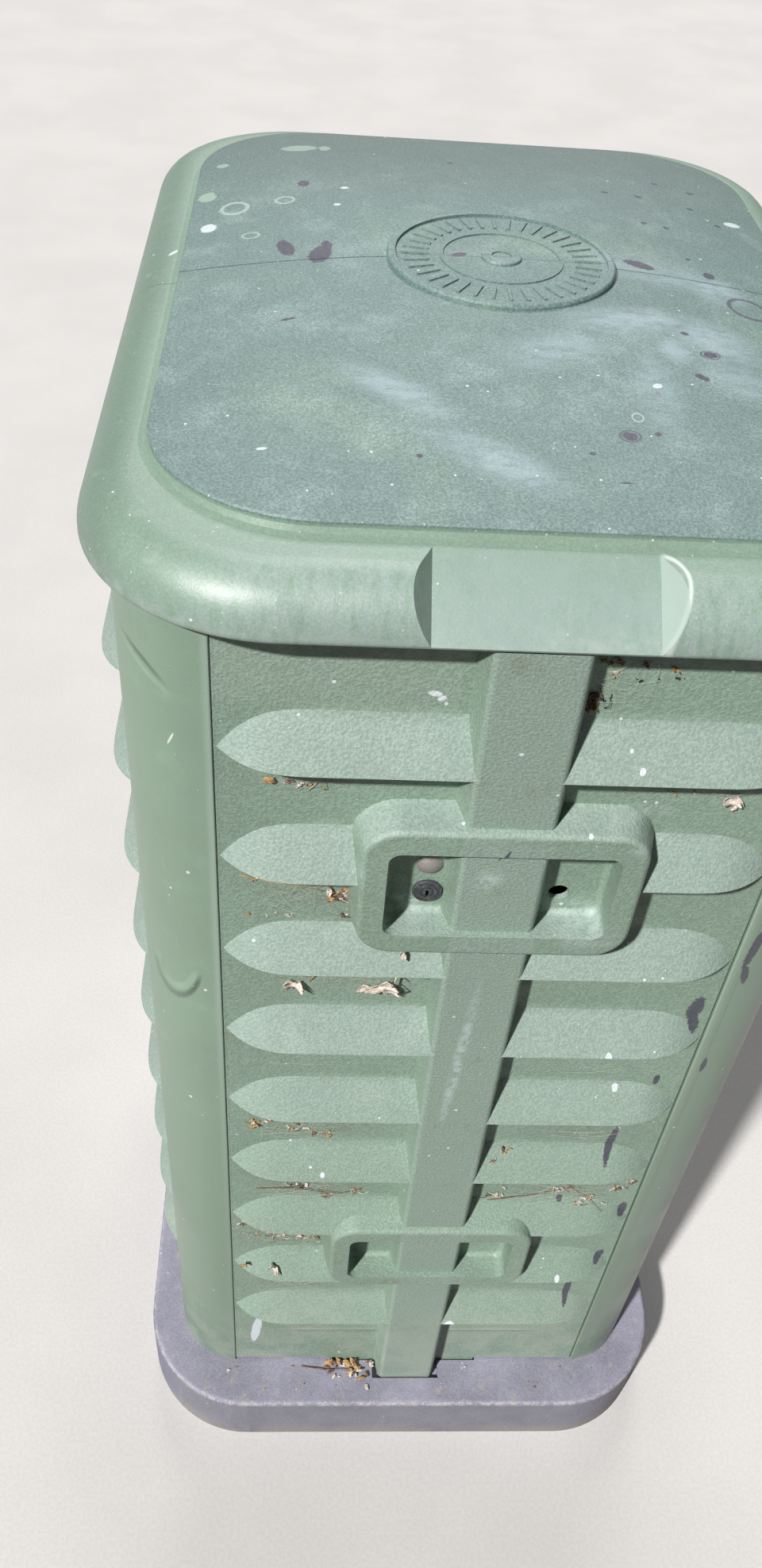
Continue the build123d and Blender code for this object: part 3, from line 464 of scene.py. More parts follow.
    def bump(self, height, depth, strength=1.0):
        """Raises the surface in shading, on top of what is raised already."""
        made = self.node("ShaderNodeBump", {"Strength": strength, "Distance": depth, "Height": height})
        old = self.shader.inputs["Normal"].links
        if old:
            self.wire(old[0].from_socket, made.inputs["Normal"])
        self.wire(made.outputs["Normal"], self.shader.inputs["Normal"])

    def gloss(self, source, low, high, start=0.35, end=0.65):
        """Lets the roughness wander between two values."""
        self.wire(self.ramp(source, start, end, low, high), self.shader.inputs["Roughness"])

    def done(self):
        self.wire(self.colour, self.shader.inputs["Base Color"])
        return self.material


def press_dents(coat):
    """The lower lip of a round dent and a slanting crease above it, as shading."""
    ring = coat.math("SUBTRACT", coat.reach(POST_DENT, ON_FRONT), 1.0)
    curve = coat.ramp(coat.math("ABSOLUTE", ring), 0.34, 0.0)
    coat.bump(coat.both(curve, coat.band("Z", DENT_LIP_Z)), 0.0032, 0.9)
    crease = coat.ramp(coat.reach(POST_CREASE, ON_FRONT), 1.2, 0.2)
    coat.bump(crease, -0.0022, 0.9)


def moulded_green(name, whites=(), berry=(), dented=False):
    """The smooth satin green of posts and plain mouldings, with fine scuffs and paint specks."""
    coat = Coat(name, POST_GREEN, 0.4, specular=0.55)
    broad = coat.noise(7.0, 4.0)
    coat.dim(coat.ramp(broad, 0.3, 0.7, 0.92, 1.07))
    # Faces turned up are lighter: partly bleaching, partly a painted sheen
    coat.cover(coat.facing("Z", 0.15, 0.75), SLOPE_BLEACH_AND_SHEEN_GREEN, 0.55)
    # Painted highlight on the ridge at the post's inner edge
    ridge = coat.band("X", POST_RIDGE_X, mirrored=True)
    coat.cover(coat.both(ridge, coat.band("Y", POST_RIDGE_Y)), RIDGE_HIGHLIGHT_GREEN, 0.6)
    cloudy = coat.noise(38.0, 5.0, 0.6)
    coat.cover(coat.ramp(cloudy, 0.52, 0.78), shade(POST_GREEN, 1.28), 0.45)
    runs = coat.streaks((95.0, 95.0, 7.0), 5.0, 0.7)
    coat.cover(coat.ramp(runs, 0.6, 0.76), POST_RUNS, 0.3)
    scratches = coat.streaks((700.0, 260.0, 26.0), 3.0, 0.6, 24.0)
    coat.cover(coat.ramp(scratches, 0.7, 0.8), POST_SCRATCHES, 0.4)
    coat.cover(coat.band("Z", POST_FOOT_Z), shade(POST_GREEN, 0.8), 0.9)
    low = coat.band("Z", POST_DUST_Z)
    coat.cover(coat.both(low, coat.ramp(cloudy, 0.35, 0.65)), DUST, 0.28)
    coat.specks(75.0, 0.085, PAINT_SPECK, 0.8)
    if whites:
        coat.cover(coat.spots(whites, ON_FRONT), PAINT_SPECK, 0.8)
    if berry:
        coat.cover(coat.spots(berry, ON_FRONT, 0.9), BERRY, 0.85)
    coat.gloss(broad, 0.33, 0.46)
    coat.bump(coat.noise(16.0, 2.0), 0.0016, 0.5)
    coat.bump(coat.noise(520.0, 2.0), 0.00022, 0.6)
    if dented:
        press_dents(coat)
    return coat.done()


def soft_crease(coat, across, core, strap):
    """Rounds, in shading, the hollow edge where each louvre's slope leaves its panel."""
    turns = coat.math("DIVIDE", coat.math("SUBTRACT", CREASE_Z, coat.spot["Z"]), PITCH)
    phase = coat.math("FRACT", turns)
    nearest = coat.math("MINIMUM", phase, coat.math("SUBTRACT", 1.0, phase))
    off = coat.math("MULTIPLY", nearest, PITCH)
    side = coat.math("ABSOLUTE", coat.spot[across])
    near = coat.node("ShaderNodeMapRange", {"Value": off, "From Min": CREASE_SOFT, "From Max": 0.0})
    height = coat.math("POWER", near.outputs["Result"], 2.0)
    height = coat.both(height, coat.ramp(side, core + TIP_FADE_OUT, core - TIP_FADE_IN))
    if strap:
        height = coat.both(height, coat.ramp(side, *STRAP_SIDE_X))
        for middle, half in RING_BANDS:
            tall = coat.math("ABSOLUTE", coat.math("SUBTRACT", coat.spot["Z"], middle))
            outside = coat.math("MAXIMUM", coat.math("DIVIDE", side, RING_HALF_WIDTH),
                                  coat.math("DIVIDE", tall, half))
            height = coat.both(height, coat.ramp(outside, 0.97, 1.03))
    coat.bump(height, CREASE_DEPTH)
    return phase


def front_tones(coat, up):
    """The front cover's paler top left and strap, and its deeper lower slopes."""
    high = coat.both(coat.band("Z", FRONT_HIGH_Z), coat.band("X", FRONT_HIGH_X))
    coat.cover(high, FRONT_HIGH_GREEN, 0.7)
    strap = coat.band("X", STRAP_CORE_X, mirrored=True)
    coat.cover(coat.both(strap, coat.band("Y", STRAP_CORE_Y)), STRAP_GREEN, 0.7)
    lowest = coat.both(up, coat.band("Z", LOWEST_SLOPES_Z))
    coat.cover(lowest, shade(COVER_GREEN, 0.94), 0.75)


def front_dirt(coat):
    """Earth and straw caught on the front cover, and its pale scuffs."""
    dirt = coat.smears(FRONT_DIRT, ON_FRONT)
    bits = coat.ramp(coat.noise(150.0, 5.0, 0.75, 1.2), 0.46, 0.6)
    coat.cover(coat.both(dirt, bits), EARTH, 0.72)
    straw = coat.ramp(coat.noise(210.0, 4.0, 0.7, 2.0), 0.57, 0.66)
    coat.cover(coat.both(dirt, straw), STRAW, 0.75)
    pale = coat.ramp(coat.noise(140.0, 5.0, 0.7), 0.36, 0.6)
    coat.cover(coat.both(coat.smears(FRONT_SCUFFS, ON_FRONT), pale), SCUFF, 0.85)


def grained_green(name, front=False, across="X", core=COVER_CORE, strap=True):
    """The pebbled green of a louvred panel, bleached and given a painted sheen on its slopes, with
    painted shade on faces turned down, and dirty under its lips.
    """
    coat = Coat(name, COVER_GREEN, 0.5, specular=0.5)
    phase = soft_crease(coat, across, core, strap)
    coat.dim(coat.ramp(coat.noise(6.0, 4.0), 0.3, 0.7, 0.93, 1.06))
    up = coat.facing("Z", 0.12, 0.46)
    # Slopes turned up are lighter: partly bleaching, partly a painted sheen
    coat.cover(up, SLOPE_BLEACH_AND_SHEEN_GREEN, 0.95)
    worn = coat.noise(26.0, 5.0, 0.62)
    coat.cover(coat.both(up, coat.ramp(worn, 0.45, 0.72)), BLEACHED_GREEN, 0.28)
    if front:
        front_tones(coat, up)
    # Painted shade on faces turned downwards, such as the lips' undersides
    coat.cover(coat.facing("Z", -0.12, -0.5), shade(COVER_GREEN, 0.6), 0.6)
    under = coat.both(coat.ramp(phase, *UNDER_LIP_START), coat.ramp(phase, *UNDER_LIP_END))
    grime = coat.noise(48.0, 6.0, 0.7, 0.6)
    coat.cover(coat.both(under, coat.ramp(grime, 0.46, 0.7)), GRIME, 0.45)
    grain = coat.noise(480.0, 2.5, 0.6)
    coat.dim(coat.ramp(grain, 0.36, 0.66, 0.86, 1.1))
    low = coat.band("Z", COVER_DUST_Z)
    coat.cover(coat.both(low, coat.ramp(worn, 0.36, 0.62)), DUST, 0.3)
    if front:
        front_dirt(coat)
    coat.specks(66.0, 0.105, PAINT_SPECK, 0.85)
    coat.specks(150.0, 0.11, COVER_FINE_SPECK, 0.65)
    if front:
        coat.cover(coat.spots(FRONT_WHITES, ON_FRONT), FRONT_WHITE, 0.9)
        coat.cover(coat.spots(FRONT_BERRY, ON_FRONT, 1.0), BERRY, 0.85)
    coat.gloss(coat.noise(90.0, 3.0), 0.42, 0.6)
    coat.bump(coat.noise(9.0, 2.0), 0.0022, 0.5)
    coat.bump(grain, 0.00075, 0.95)
    return coat.done()


def rim_tones(coat, rim):
    """The rim's deeper left side, and on its front left paint worn by rubbing, with a painted sheen."""
    coat.cover(coat.both(rim, coat.band("X", RIM_LEFT_X)), shade(RIM_GREEN, 0.74), 0.9)
    front = coat.both(coat.band("Y", RIM_FRONT_Y), rim)
    front = coat.both(front, coat.band("X", RIM_FRONT_X))
    # Worn paint streaks that also carry a painted sheen
    rubbed_and_sheen = coat.ramp(coat.streaks((150.0, 60.0, 40.0), 5.0, 0.7), 0.3, 0.62)
    coat.cover(coat.both(front, rubbed_and_sheen), RUBBED_AND_SHEEN_GREEN, 0.5)


def recess_tones(coat, rim):
    """The scuffed bed of the front hand hold, and on its right end a painted highlight along the lip and
    painted light on the slope.
    """
    wide = coat.band("X", RECESS_BED_X, mirrored=True)
    bed = coat.both(wide, coat.band("Y", RECESS_BED_Y))
    scuffed = coat.ramp(coat.noise(34.0, 6.0, 0.7, 0.8), 0.35, 0.65, 0.55, 0.95)
    bed = coat.both(bed, scuffed)
    coat.cover(coat.both(bed, rim), RECESS_GREEN, 0.9)
    # Painted highlight along the lip of the right end
    off = coat.math("ABSOLUTE", coat.math("SUBTRACT", coat.reach(RECESS_END, ON_ROOF), 1.0))
    lip = coat.both(coat.ramp(off, 0.16, 0.02), coat.band("X", RECESS_LIP_X))
    coat.cover(coat.both(lip, rim), RECESS_LIP_HIGHLIGHT_GREEN, 0.85)
    # Painted light on the right end's slope, which faces the lamp
    slope = coat.both(coat.facing("X", -0.3, -0.55), coat.band("X", RECESS_SLOPE_X))
    coat.cover(coat.both(slope, rim), RECESS_SLOPE_LIT_GREEN, 0.8)


def rim_wear(coat, rim):
    """Worn patches on the rim, a chalky skirt under it and fine runs."""
    worn = coat.noise(60.0, 5.0, 0.7)
    coat.cover(coat.both(rim, coat.ramp(worn, 0.56, 0.74)), RIM_WORN, 0.3)
    skirt = coat.band("Z", RIM_SKIRT_Z)
    coat.cover(coat.both(skirt, coat.ramp(worn, 0.42, 0.64)), RIM_SKIRT, 0.45)
    runs = coat.streaks((190.0, 190.0, 30.0), 4.0, 0.7)
    coat.cover(coat.both(rim, coat.ramp(runs, 0.62, 0.74)), RIM_RUNS, 0.35)


def roof_marks(coat, crown):
    """Smears, the seam, lichen, specks of paint, white spots and crushed berries."""
    streak = coat.streaks((60.0, 130.0, 60.0), 4.0, 0.65)
    smears = coat.smears(ROOF_SMEARS, ON_ROOF)
    coat.cover(coat.both(smears, coat.ramp(streak, 0.32, 0.62, 0.35, 1.0)), CHALK, 0.52)
    seam = coat.band("Y", SEAM_Y, mirrored=True)
    coat.cover(coat.both(seam, coat.band("X", SEAM_RIM_X)), shade(RIM_GREEN, 0.45), 0.8)
    coat.cover(coat.both(seam, crown), shade(ROOF_GREEN, 0.5), 0.7)
    coat.cover(coat.spots(ROOF_LICHEN, ON_ROOF, 0.9), LICHEN, 0.55)
    coat.cover(coat.hoops(ROOF_RINGS, ON_ROOF, 0.22), LICHEN_RING, 0.55)
    coat.specks(80.0, 0.1, PAINT_SPECK, 0.75)
    coat.specks(170.0, 0.12, ROOF_FINE_SPECK, 0.55)
    coat.cover(coat.spots(ROOF_WHITES, ON_ROOF), ROOF_WHITE, 0.85)
    stain = coat.noise(420.0, 3.0)
    coat.cover(coat.hoops(ROOF_HOOPS, ON_ROOF, 0.14), BERRY, 0.75)
    berries = coat.spots(ROOF_BERRY, ON_ROOF, 0.8)
    coat.cover(berries, BERRY, 0.9)
    coat.cover(coat.both(berries, coat.ramp(stain, 0.5, 0.7)), BERRY_SKIN, 0.5)


def green_roof():
    """A dusty, finely grained crown inside a smoother and glossier rim."""
    coat = Coat("green_roof", RIM_GREEN, 0.4, specular=0.9)
    broad = coat.noise(5.0, 4.0)
    crown = coat.band("Z", CROWN_FOOT_Z)
    # Crown colour, tinted bluer as a painted sky reflection
    coat.cover(crown, ROOF_GREEN, 1.0)
    coat.dim(coat.ramp(broad, 0.3, 0.7, 0.94, 1.06))
    cloudy = coat.noise(22.0, 6.0, 0.65)
    coat.cover(coat.both(crown, coat.ramp(cloudy, 0.46, 0.74)), ROOF_DUST, 0.55)
    moss = coat.noise(9.0, 5.0, 0.6, 0.4)
    coat.cover(coat.both(crown, coat.ramp(moss, 0.5, 0.72)), ROOF_MOSS, 0.45)
    coat.cover(coat.both(crown, coat.band("Y", ROOF_REAR_Y)), shade(ROOF_GREEN, 0.66), 0.85)
    grain = coat.noise(620.0, 3.0, 0.65)
    rim = coat.math("SUBTRACT", 1.0, crown)
    rim_tones(coat, rim)
    strong = coat.ramp(crown, 0.0, 1.0, 0.35, 1.0)
    fine = coat.math("MULTIPLY", coat.ramp(grain, 0.36, 0.66, -0.3, 0.26), strong)
    coat.dim(coat.math("ADD", fine, 1.0))
    recess_tones(coat, rim)
    rim_wear(coat, rim)
    roof_marks(coat, crown)
    rough = coat.ramp(crown, 0.0, 1.0, 0.43, 0.56)
    uneven = coat.ramp(broad, 0.35, 0.65, 0.94, 1.1)
    coat.wire(coat.math("MULTIPLY", rough, uneven), coat.shader.inputs["Roughness"])
    coat.bump(coat.noise(12.0, 2.0), 0.0014, 0.5)
    coat.bump(coat.math("MULTIPLY", grain, strong), 0.00045, 0.8)
    return coat.done()


def dusty_plinth():
    """Dark plastic bleached to violet grey, with sand and dust on its deck and along its foot."""
    coat = Coat("plinth_plastic", PLINTH_GREY, 0.68, specular=0.4)
    up = coat.facing("Z", 0.3, 0.85)
    # Painted sky light on the faces turned up
    coat.cover(up, DECK_SKYLIT_GREY, 0.9)
    # Painted shade on the faces turned to the left
    coat.cover(coat.facing("X", -0.55, -0.9), PLINTH_LEFT_SHADE_GREY, 0.8)
    clouds = coat.noise(16.0, 6.0, 0.62)
    coat.dim(coat.ramp(clouds, 0.32, 0.68, 0.86, 1.12))
    sand = coat.ramp(coat.noise(70.0, 6.0, 0.75, 0.4), 0.52, 0.7)
    coat.cover(coat.both(up, sand), DECK_SAND, 0.6)
    foot = coat.band("Z", PLINTH_FOOT_Z)
    coat.cover(coat.both(foot, coat.ramp(clouds, 0.3, 0.6)), PLINTH_DUST, 0.6)
    runs = coat.streaks((75.0, 75.0, 9.0), 5.0, 0.7)
    coat.cover(coat.ramp(runs, 0.56, 0.72), PLINTH_RUNS, 0.45)
    # Painted highlight along the deck's rounded top edge, broken in patches
    edge = coat.both(coat.band("Z", PLINTH_EDGE_Z),
                       coat.ramp(coat.noise(130.0, 4.0, 0.7), 0.4, 0.62))
    rounded = coat.both(edge, coat.facing("Z", 0.97, 0.8))
    coat.cover(rounded, PLINTH_EDGE_HIGHLIGHT, 0.7)
    coat.dim(coat.ramp(coat.noise(520.0, 3.0), 0.35, 0.65, 0.88, 1.08))
    coat.specks(90.0, 0.12, PALE_GRIT, 0.8)
    coat.specks(120.0, 0.12, DARK_GRIT, 0.6)
    coat.gloss(clouds, 0.6, 0.78)
    coat.bump(coat.noise(300.0, 3.0), 0.0006, 0.7)
    return coat.done()


def plain_finish(name, colour, roughness, metallic=0.0, grain=300.0, depth=0.0002, worn=None):
    """A fine-grained surface, with another colour where it is worn."""
    coat = Coat(name, colour, roughness, metallic)
    coat.cover(coat.ramp(coat.noise(40.0, 4.0), 0.4, 0.7), shade(colour, 0.78), 0.7)
    if worn:
        coat.cover(coat.ramp(coat.noise(330.0, 5.0, 0.7), 0.48, 0.68), worn, 0.6)
    coat.dim(coat.ramp(coat.noise(900.0, 2.0), 0.35, 0.65, 0.92, 1.06))
    coat.gloss(coat.noise(60.0, 3.0), roughness * 0.85, min(1.0, roughness * 1.2))
    coat.bump(coat.noise(grain, 2.0), depth, 0.6)
    return coat.done()


def spangled_zinc(name, colour):
    """Zinc with flat crystal patches, each a little lighter or darker than the next."""
    coat = Coat(name, colour, 0.42, 0.85)
    patch = coat.parts(coat.cells(95.0)["Color"])[0]
    coat.dim(coat.ramp(patch, 0.0, 1.0, 0.82, 1.08))
    coat.cover(coat.ramp(coat.noise(30.0, 5.0), 0.52, 0.75), DULL_ZINC, 0.4)
    coat.gloss(patch, 0.34, 0.52, 0.0, 1.0)
    coat.bump(coat.noise(240.0, 3.0), 0.00015, 0.5)
    return coat.done()


def litter(name, light, dark, scale=240.0):
    """Dry plant matter, veined and blotched."""
    coat = Coat(name, light, 0.8, specular=0.3)
    coat.cover(coat.ramp(coat.noise(scale, 5.0, 0.7), 0.38, 0.64), dark, 0.85)
    veins = coat.streaks((900.0, 900.0, 200.0), 4.0, turn=35.0)
    coat.dim(coat.ramp(veins, 0.35, 0.65, 0.8, 1.12))
    coat.bump(coat.noise(700.0, 3.0), 0.0004, 0.8)
    return coat.done()


finishes = {
    "green_moulding": moulded_green("green_moulding"),
    "green_roof": green_roof(),
    "green_cover": grained_green("green_cover"),
    "plinth_plastic": dusty_plinth(),
    "galvanised_steel": spangled_zinc("galvanised_steel", (0.52, 0.54, 0.56)),
    "zinc_fastener": spangled_zinc("zinc_fastener", (0.6, 0.59, 0.55)),
    "lock_black": plain_finish("lock_black", (0.055, 0.058, 0.066), 0.5,
                               worn=(0.16, 0.165, 0.17)),
    "lock_rotor_black": plain_finish("lock_rotor_black", (0.075, 0.078, 0.085), 0.42, 0.3,
                                     worn=(0.2, 0.2, 0.2)),
    "stud_weathered": plain_finish("stud_weathered", (0.3, 0.285, 0.27), 0.55, 0.25, 500.0, 0.0005,
                                   worn=(0.36, 0.27, 0.19)),
    "seal_foam": plain_finish("seal_foam", (0.03, 0.03, 0.03), 0.9, grain=800.0, depth=0.0005),
    "grommet_rubber": plain_finish("grommet_rubber", (0.03, 0.03, 0.03), 0.7,
                                   worn=(0.07, 0.07, 0.07)),
    "terminal_plastic": plain_finish("terminal_plastic", (0.66, 0.65, 0.58), 0.5),
    "earth_copper": plain_finish("earth_copper", (0.6, 0.32, 0.18), 0.4, 0.9,
                                 worn=(0.3, 0.2, 0.14)),
}
side_finish = grained_green("green_side", across="Y", core=SIDE_CORE, strap=False)
own_finishes = {
    "front_cover": grained_green("green_cover_front", front=True),
    "side_panel_left": side_finish,
    "side_panel_right": side_finish,
    "corner_post_front_left": moulded_green("green_moulding_left", LEFT_POST_WHITES, dented=True),
    "corner_post_front_right": moulded_green("green_moulding_right", berry=RIGHT_POST_BERRY),
}
litters = [
    litter("litter_pale", (0.78, 0.7, 0.62), (0.55, 0.46, 0.38)),
    litter("litter_brown", (0.26, 0.15, 0.095), (0.1, 0.06, 0.045)),
    litter("litter_ochre", (0.52, 0.34, 0.15), (0.34, 0.19, 0.09)),
    litter("litter_dark", (0.045, 0.04, 0.04), (0.02, 0.018, 0.018)),
    litter("web_thread", (0.72, 0.72, 0.68), (0.55, 0.53, 0.48), 900.0),
]
PALE, BROWN, OCHRE, DARK, WEB = range(5)


def dress_nodes():
    """Gives each node its own finish, or that of its material slot."""
    for row in frame["record"]["subparts"]:
        chosen = own_finishes.get(row["node"], finishes[row["material_slot"]])
        for slot in frame["nodes"][row["node"]].material_slots:
            slot.material = chosen


def cover_y(z):
    """The front cover's surface beside the strap, at a height."""
    below = (CREASE_Z - z) % PITCH
    if z > CREASE_Z or below > LOUVRE_HEIGHT:
        return PANEL_Y
    return PANEL_Y - LOUVRE_DEPTH * below / LOUVRE_HEIGHT


def add_piece(mesh, name, materials):
    """Turns a mesh of closed shells into an object of the scene."""
    bmesh.ops.recalc_face_normals(mesh, faces=mesh.faces)
    data = bpy.data.meshes.new(name)
    mesh.to_mesh(data)
    mesh.free()
    for material in materials:
        data.materials.append(material)
    piece = bpy.data.objects.new(name, data)
    bpy.context.scene.collection.objects.link(piece)
    return piece


def on_cover(x, z, off=0.0004):
    """A place on the front cover, or a little off it."""
    return (x, cover_y(z) - off, z)


def on_deck(x, y, lift):
    """A place above the plinth's deck."""
    return (x, y, DECK_Z + lift)


class Litter:
    """Dry leaves, twigs and threads, gathered as closed shells into one piece."""

    def __init__(self):
        self.mesh = bmesh.new()

    def face(self, verts, kind):
        made = self.mesh.faces.new(verts)
        made.material_index = kind
        made.smooth = True

    def flake(self, place, length, width, turn, kind, curl=0.3, lean=0.0, thick=0.00045):
        """A ragged curled leaf: place is its middle, turn its angle in the face it lies on."""
        along = 9
        across = 5
        tilt = Matrix.Rotation(math.radians(lean), 3, "X")
        tilt = tilt @ Matrix.Rotation(math.radians(turn), 3, "Y")
        bend = rng.uniform(0.6, 1.3) * curl * length
        waves = [rng.uniform(-0.16, 0.16) for _ in range(along + 1)]
        layers = []
        for side in (0.0, thick):
            rows = []
            for i in range(along + 1):
                u = 2.0 * i / along - 1.0
                half = width / 2 * (max(0.05, 1.0 - u * u) ** 0.6) * (1.0 + waves[i])
                row = []
                for j in range(across + 1):
                    v = 2.0 * j / across - 1.0
                    lift = bend * (u * u * 0.8 + 0.5 * v * v + 0.25 * math.sin(5.0 * u + 3.0 * v))
                    sweep = 0.1 * width * math.sin(3.0 * u)
                    point = Vector((u * length / 2, -lift - side, v * half + sweep))
                    row.append(self.mesh.verts.new(tilt @ point + Vector(place)))
                rows.append(row)
            layers.append(rows)
        back, front = layers
        for i in range(along):
            for j in range(across):
                square = ((i, j), (i + 1, j), (i + 1, j + 1), (i, j + 1))
                self.face([front[a][b] for a, b in square], kind)
                self.face([back[a][b] for a, b in reversed(square)], kind)
        rim = [(i, 0) for i in range(along)] + [(along, j) for j in range(across)]
        rim += [(i, across) for i in range(along, 0, -1)] + [(0, j) for j in range(across, 0, -1)]
        for (a, b), (c, d) in zip(rim, rim[1:] + rim[:1]):
            self.face([back[a][b], back[c][d], front[c][d], front[a][b]], kind)

    def twig(self, points, radius, kind, sides=6):
        """A tapered, slightly crooked tube through some points."""
        path = [Vector(point) for point in points]
        fine = []
        for a, b in zip(path, path[1:]):
            for step in range(3):
                fine.append(a.lerp(b, step / 3))
        fine.append(path[-1])
        rings = []
        for i, point in enumerate(fine):
            ahead = fine[min(i + 1, len(fine) - 1)] - fine[max(i - 1, 0)]
            side = ahead.cross(Vector((0.31, 0.9, 0.27))).normalized()
            other = ahead.cross(side).normalized()
            share = 1.0 - 0.55 * i / (len(fine) - 1)
            shift = noise.noise_vector(point * 400.0) * radius * 0.8
            ring = []
            for k in range(sides):
                angle = 2.0 * math.pi * k / sides
                out = side * math.cos(angle) + other * math.sin(angle)
                ring.append(self.mesh.verts.new(point + shift + out * radius * share))
            rings.append(ring)
        for low, high in zip(rings, rings[1:]):
            for k in range(sides):
                after = (k + 1) % sides
                self.face([low[k], low[after], high[after], high[k]], kind)
        self.face(rings[0][::-1], kind)
        self.face(rings[-1], kind)

    def stalk(self, places, radius, kind):
        """A twig whose places are x, z and, where it isn't the usual one, the distance off the cover."""
        self.twig([on_cover(*place) for place in places], radius, kind)

    def crumb(self, place, size, kind):
        """A broken clod or seed husk."""
        made = bmesh.ops.create_icosphere(self.mesh, subdivisions=2, radius=1.0)
        drift = Vector((rng.uniform(-9.0, 9.0), rng.uniform(-9.0, 9.0), rng.uniform(-9.0, 9.0)))
        stretch = Vector((rng.uniform(0.8, 1.5), rng.uniform(0.5, 0.8), rng.uniform(0.6, 1.0)))
        for vert in made["verts"]:
            rough = 1.0 + 0.55 * noise.noise(vert.co * 1.7 + drift)
            vert.co = vert.co * stretch * size * rough + Vector(place)
            for face in vert.link_faces:
                face.material_index = kind

    def bunch(self, x, z, width, height, count, kinds, size=0.006, depth=0.004):
        """Small leaves, husks and stalks caught together against the cover."""
        for _ in range(count):
            px = x + rng.gauss(0.0, 0.4) * width
            pz = z + rng.gauss(0.0, 0.4) * height
            base = cover_y(pz) - 0.0002
            kind = rng.choice(kinds)
            own = size * rng.uniform(0.55, 1.35)
            draw = rng.random()
            if draw < 0.5:
                self.flake((px, base, pz), own, own * rng.uniform(0.35, 0.6),
                           rng.uniform(0, 180), kind, rng.uniform(0.1, 0.4))
            elif draw < 0.75:
                self.crumb((px, base - own * 0.1, pz), own * 0.22, kind)
            else:
                turn = rng.uniform(0, math.pi)
                reach = Vector((math.cos(turn), 0.0, math.sin(turn))) * own
                middle = Vector((px, base - rng.uniform(0.2, 1.0) * depth, pz))
                self.twig([(px - reach.x, base - 0.0005, pz - reach.z), middle,
                           (px + reach.x, base - 0.0008, pz + reach.z)], 0.00035, kind)

    def web(self, x, z, width, height, count):
        """Threads that cross a corner and stand off the face."""
        for _ in range(count):
            ends = []
            for _ in range(2):
                px = x + rng.uniform(-0.5, 0.5) * width
                pz = z + rng.uniform(-0.5, 0.5) * height
                ends.append(Vector((px, cover_y(pz) - rng.uniform(0.0, 0.004), pz)))
            middle = ends[0].lerp(ends[1], 0.5) + Vector((0.0, -rng.uniform(0.0, 0.003), -0.001))
            self.twig([ends[0], middle, ends[1]], rng.uniform(0.00005, 0.0001), WEB, 4)

    def finish(self, name, body):
        piece = add_piece(self.mesh, name, litters)
        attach(piece, body)


def make_edge_bead():
    """The soft bead that closes the seam between the cover's left edge and the post."""
    mesh = bmesh.new()
    bottom, top = BEAD_HEIGHTS
    rings = []
    for i in range(BEAD_STEPS + 1):
        z = bottom + (top - bottom) * i / BEAD_STEPS
        sway = BEAD_SWAY * math.sin(i * 2.7)
        rings.append([mesh.verts.new((x + sway, y, z)) for x, y in BEAD_SECTION])
    for low, high in zip(rings, rings[1:]):
        for k in range(len(low)):
            after = (k + 1) % len(low)
            mesh.faces.new([low[k], low[after], high[after], high[k]])
    mesh.faces.new(rings[0][::-1])
    mesh.faces.new(rings[-1])
    piece = add_piece(mesh, "cover_edge_bead", [own_finishes["front_cover"]])
    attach(piece, "front_cover")


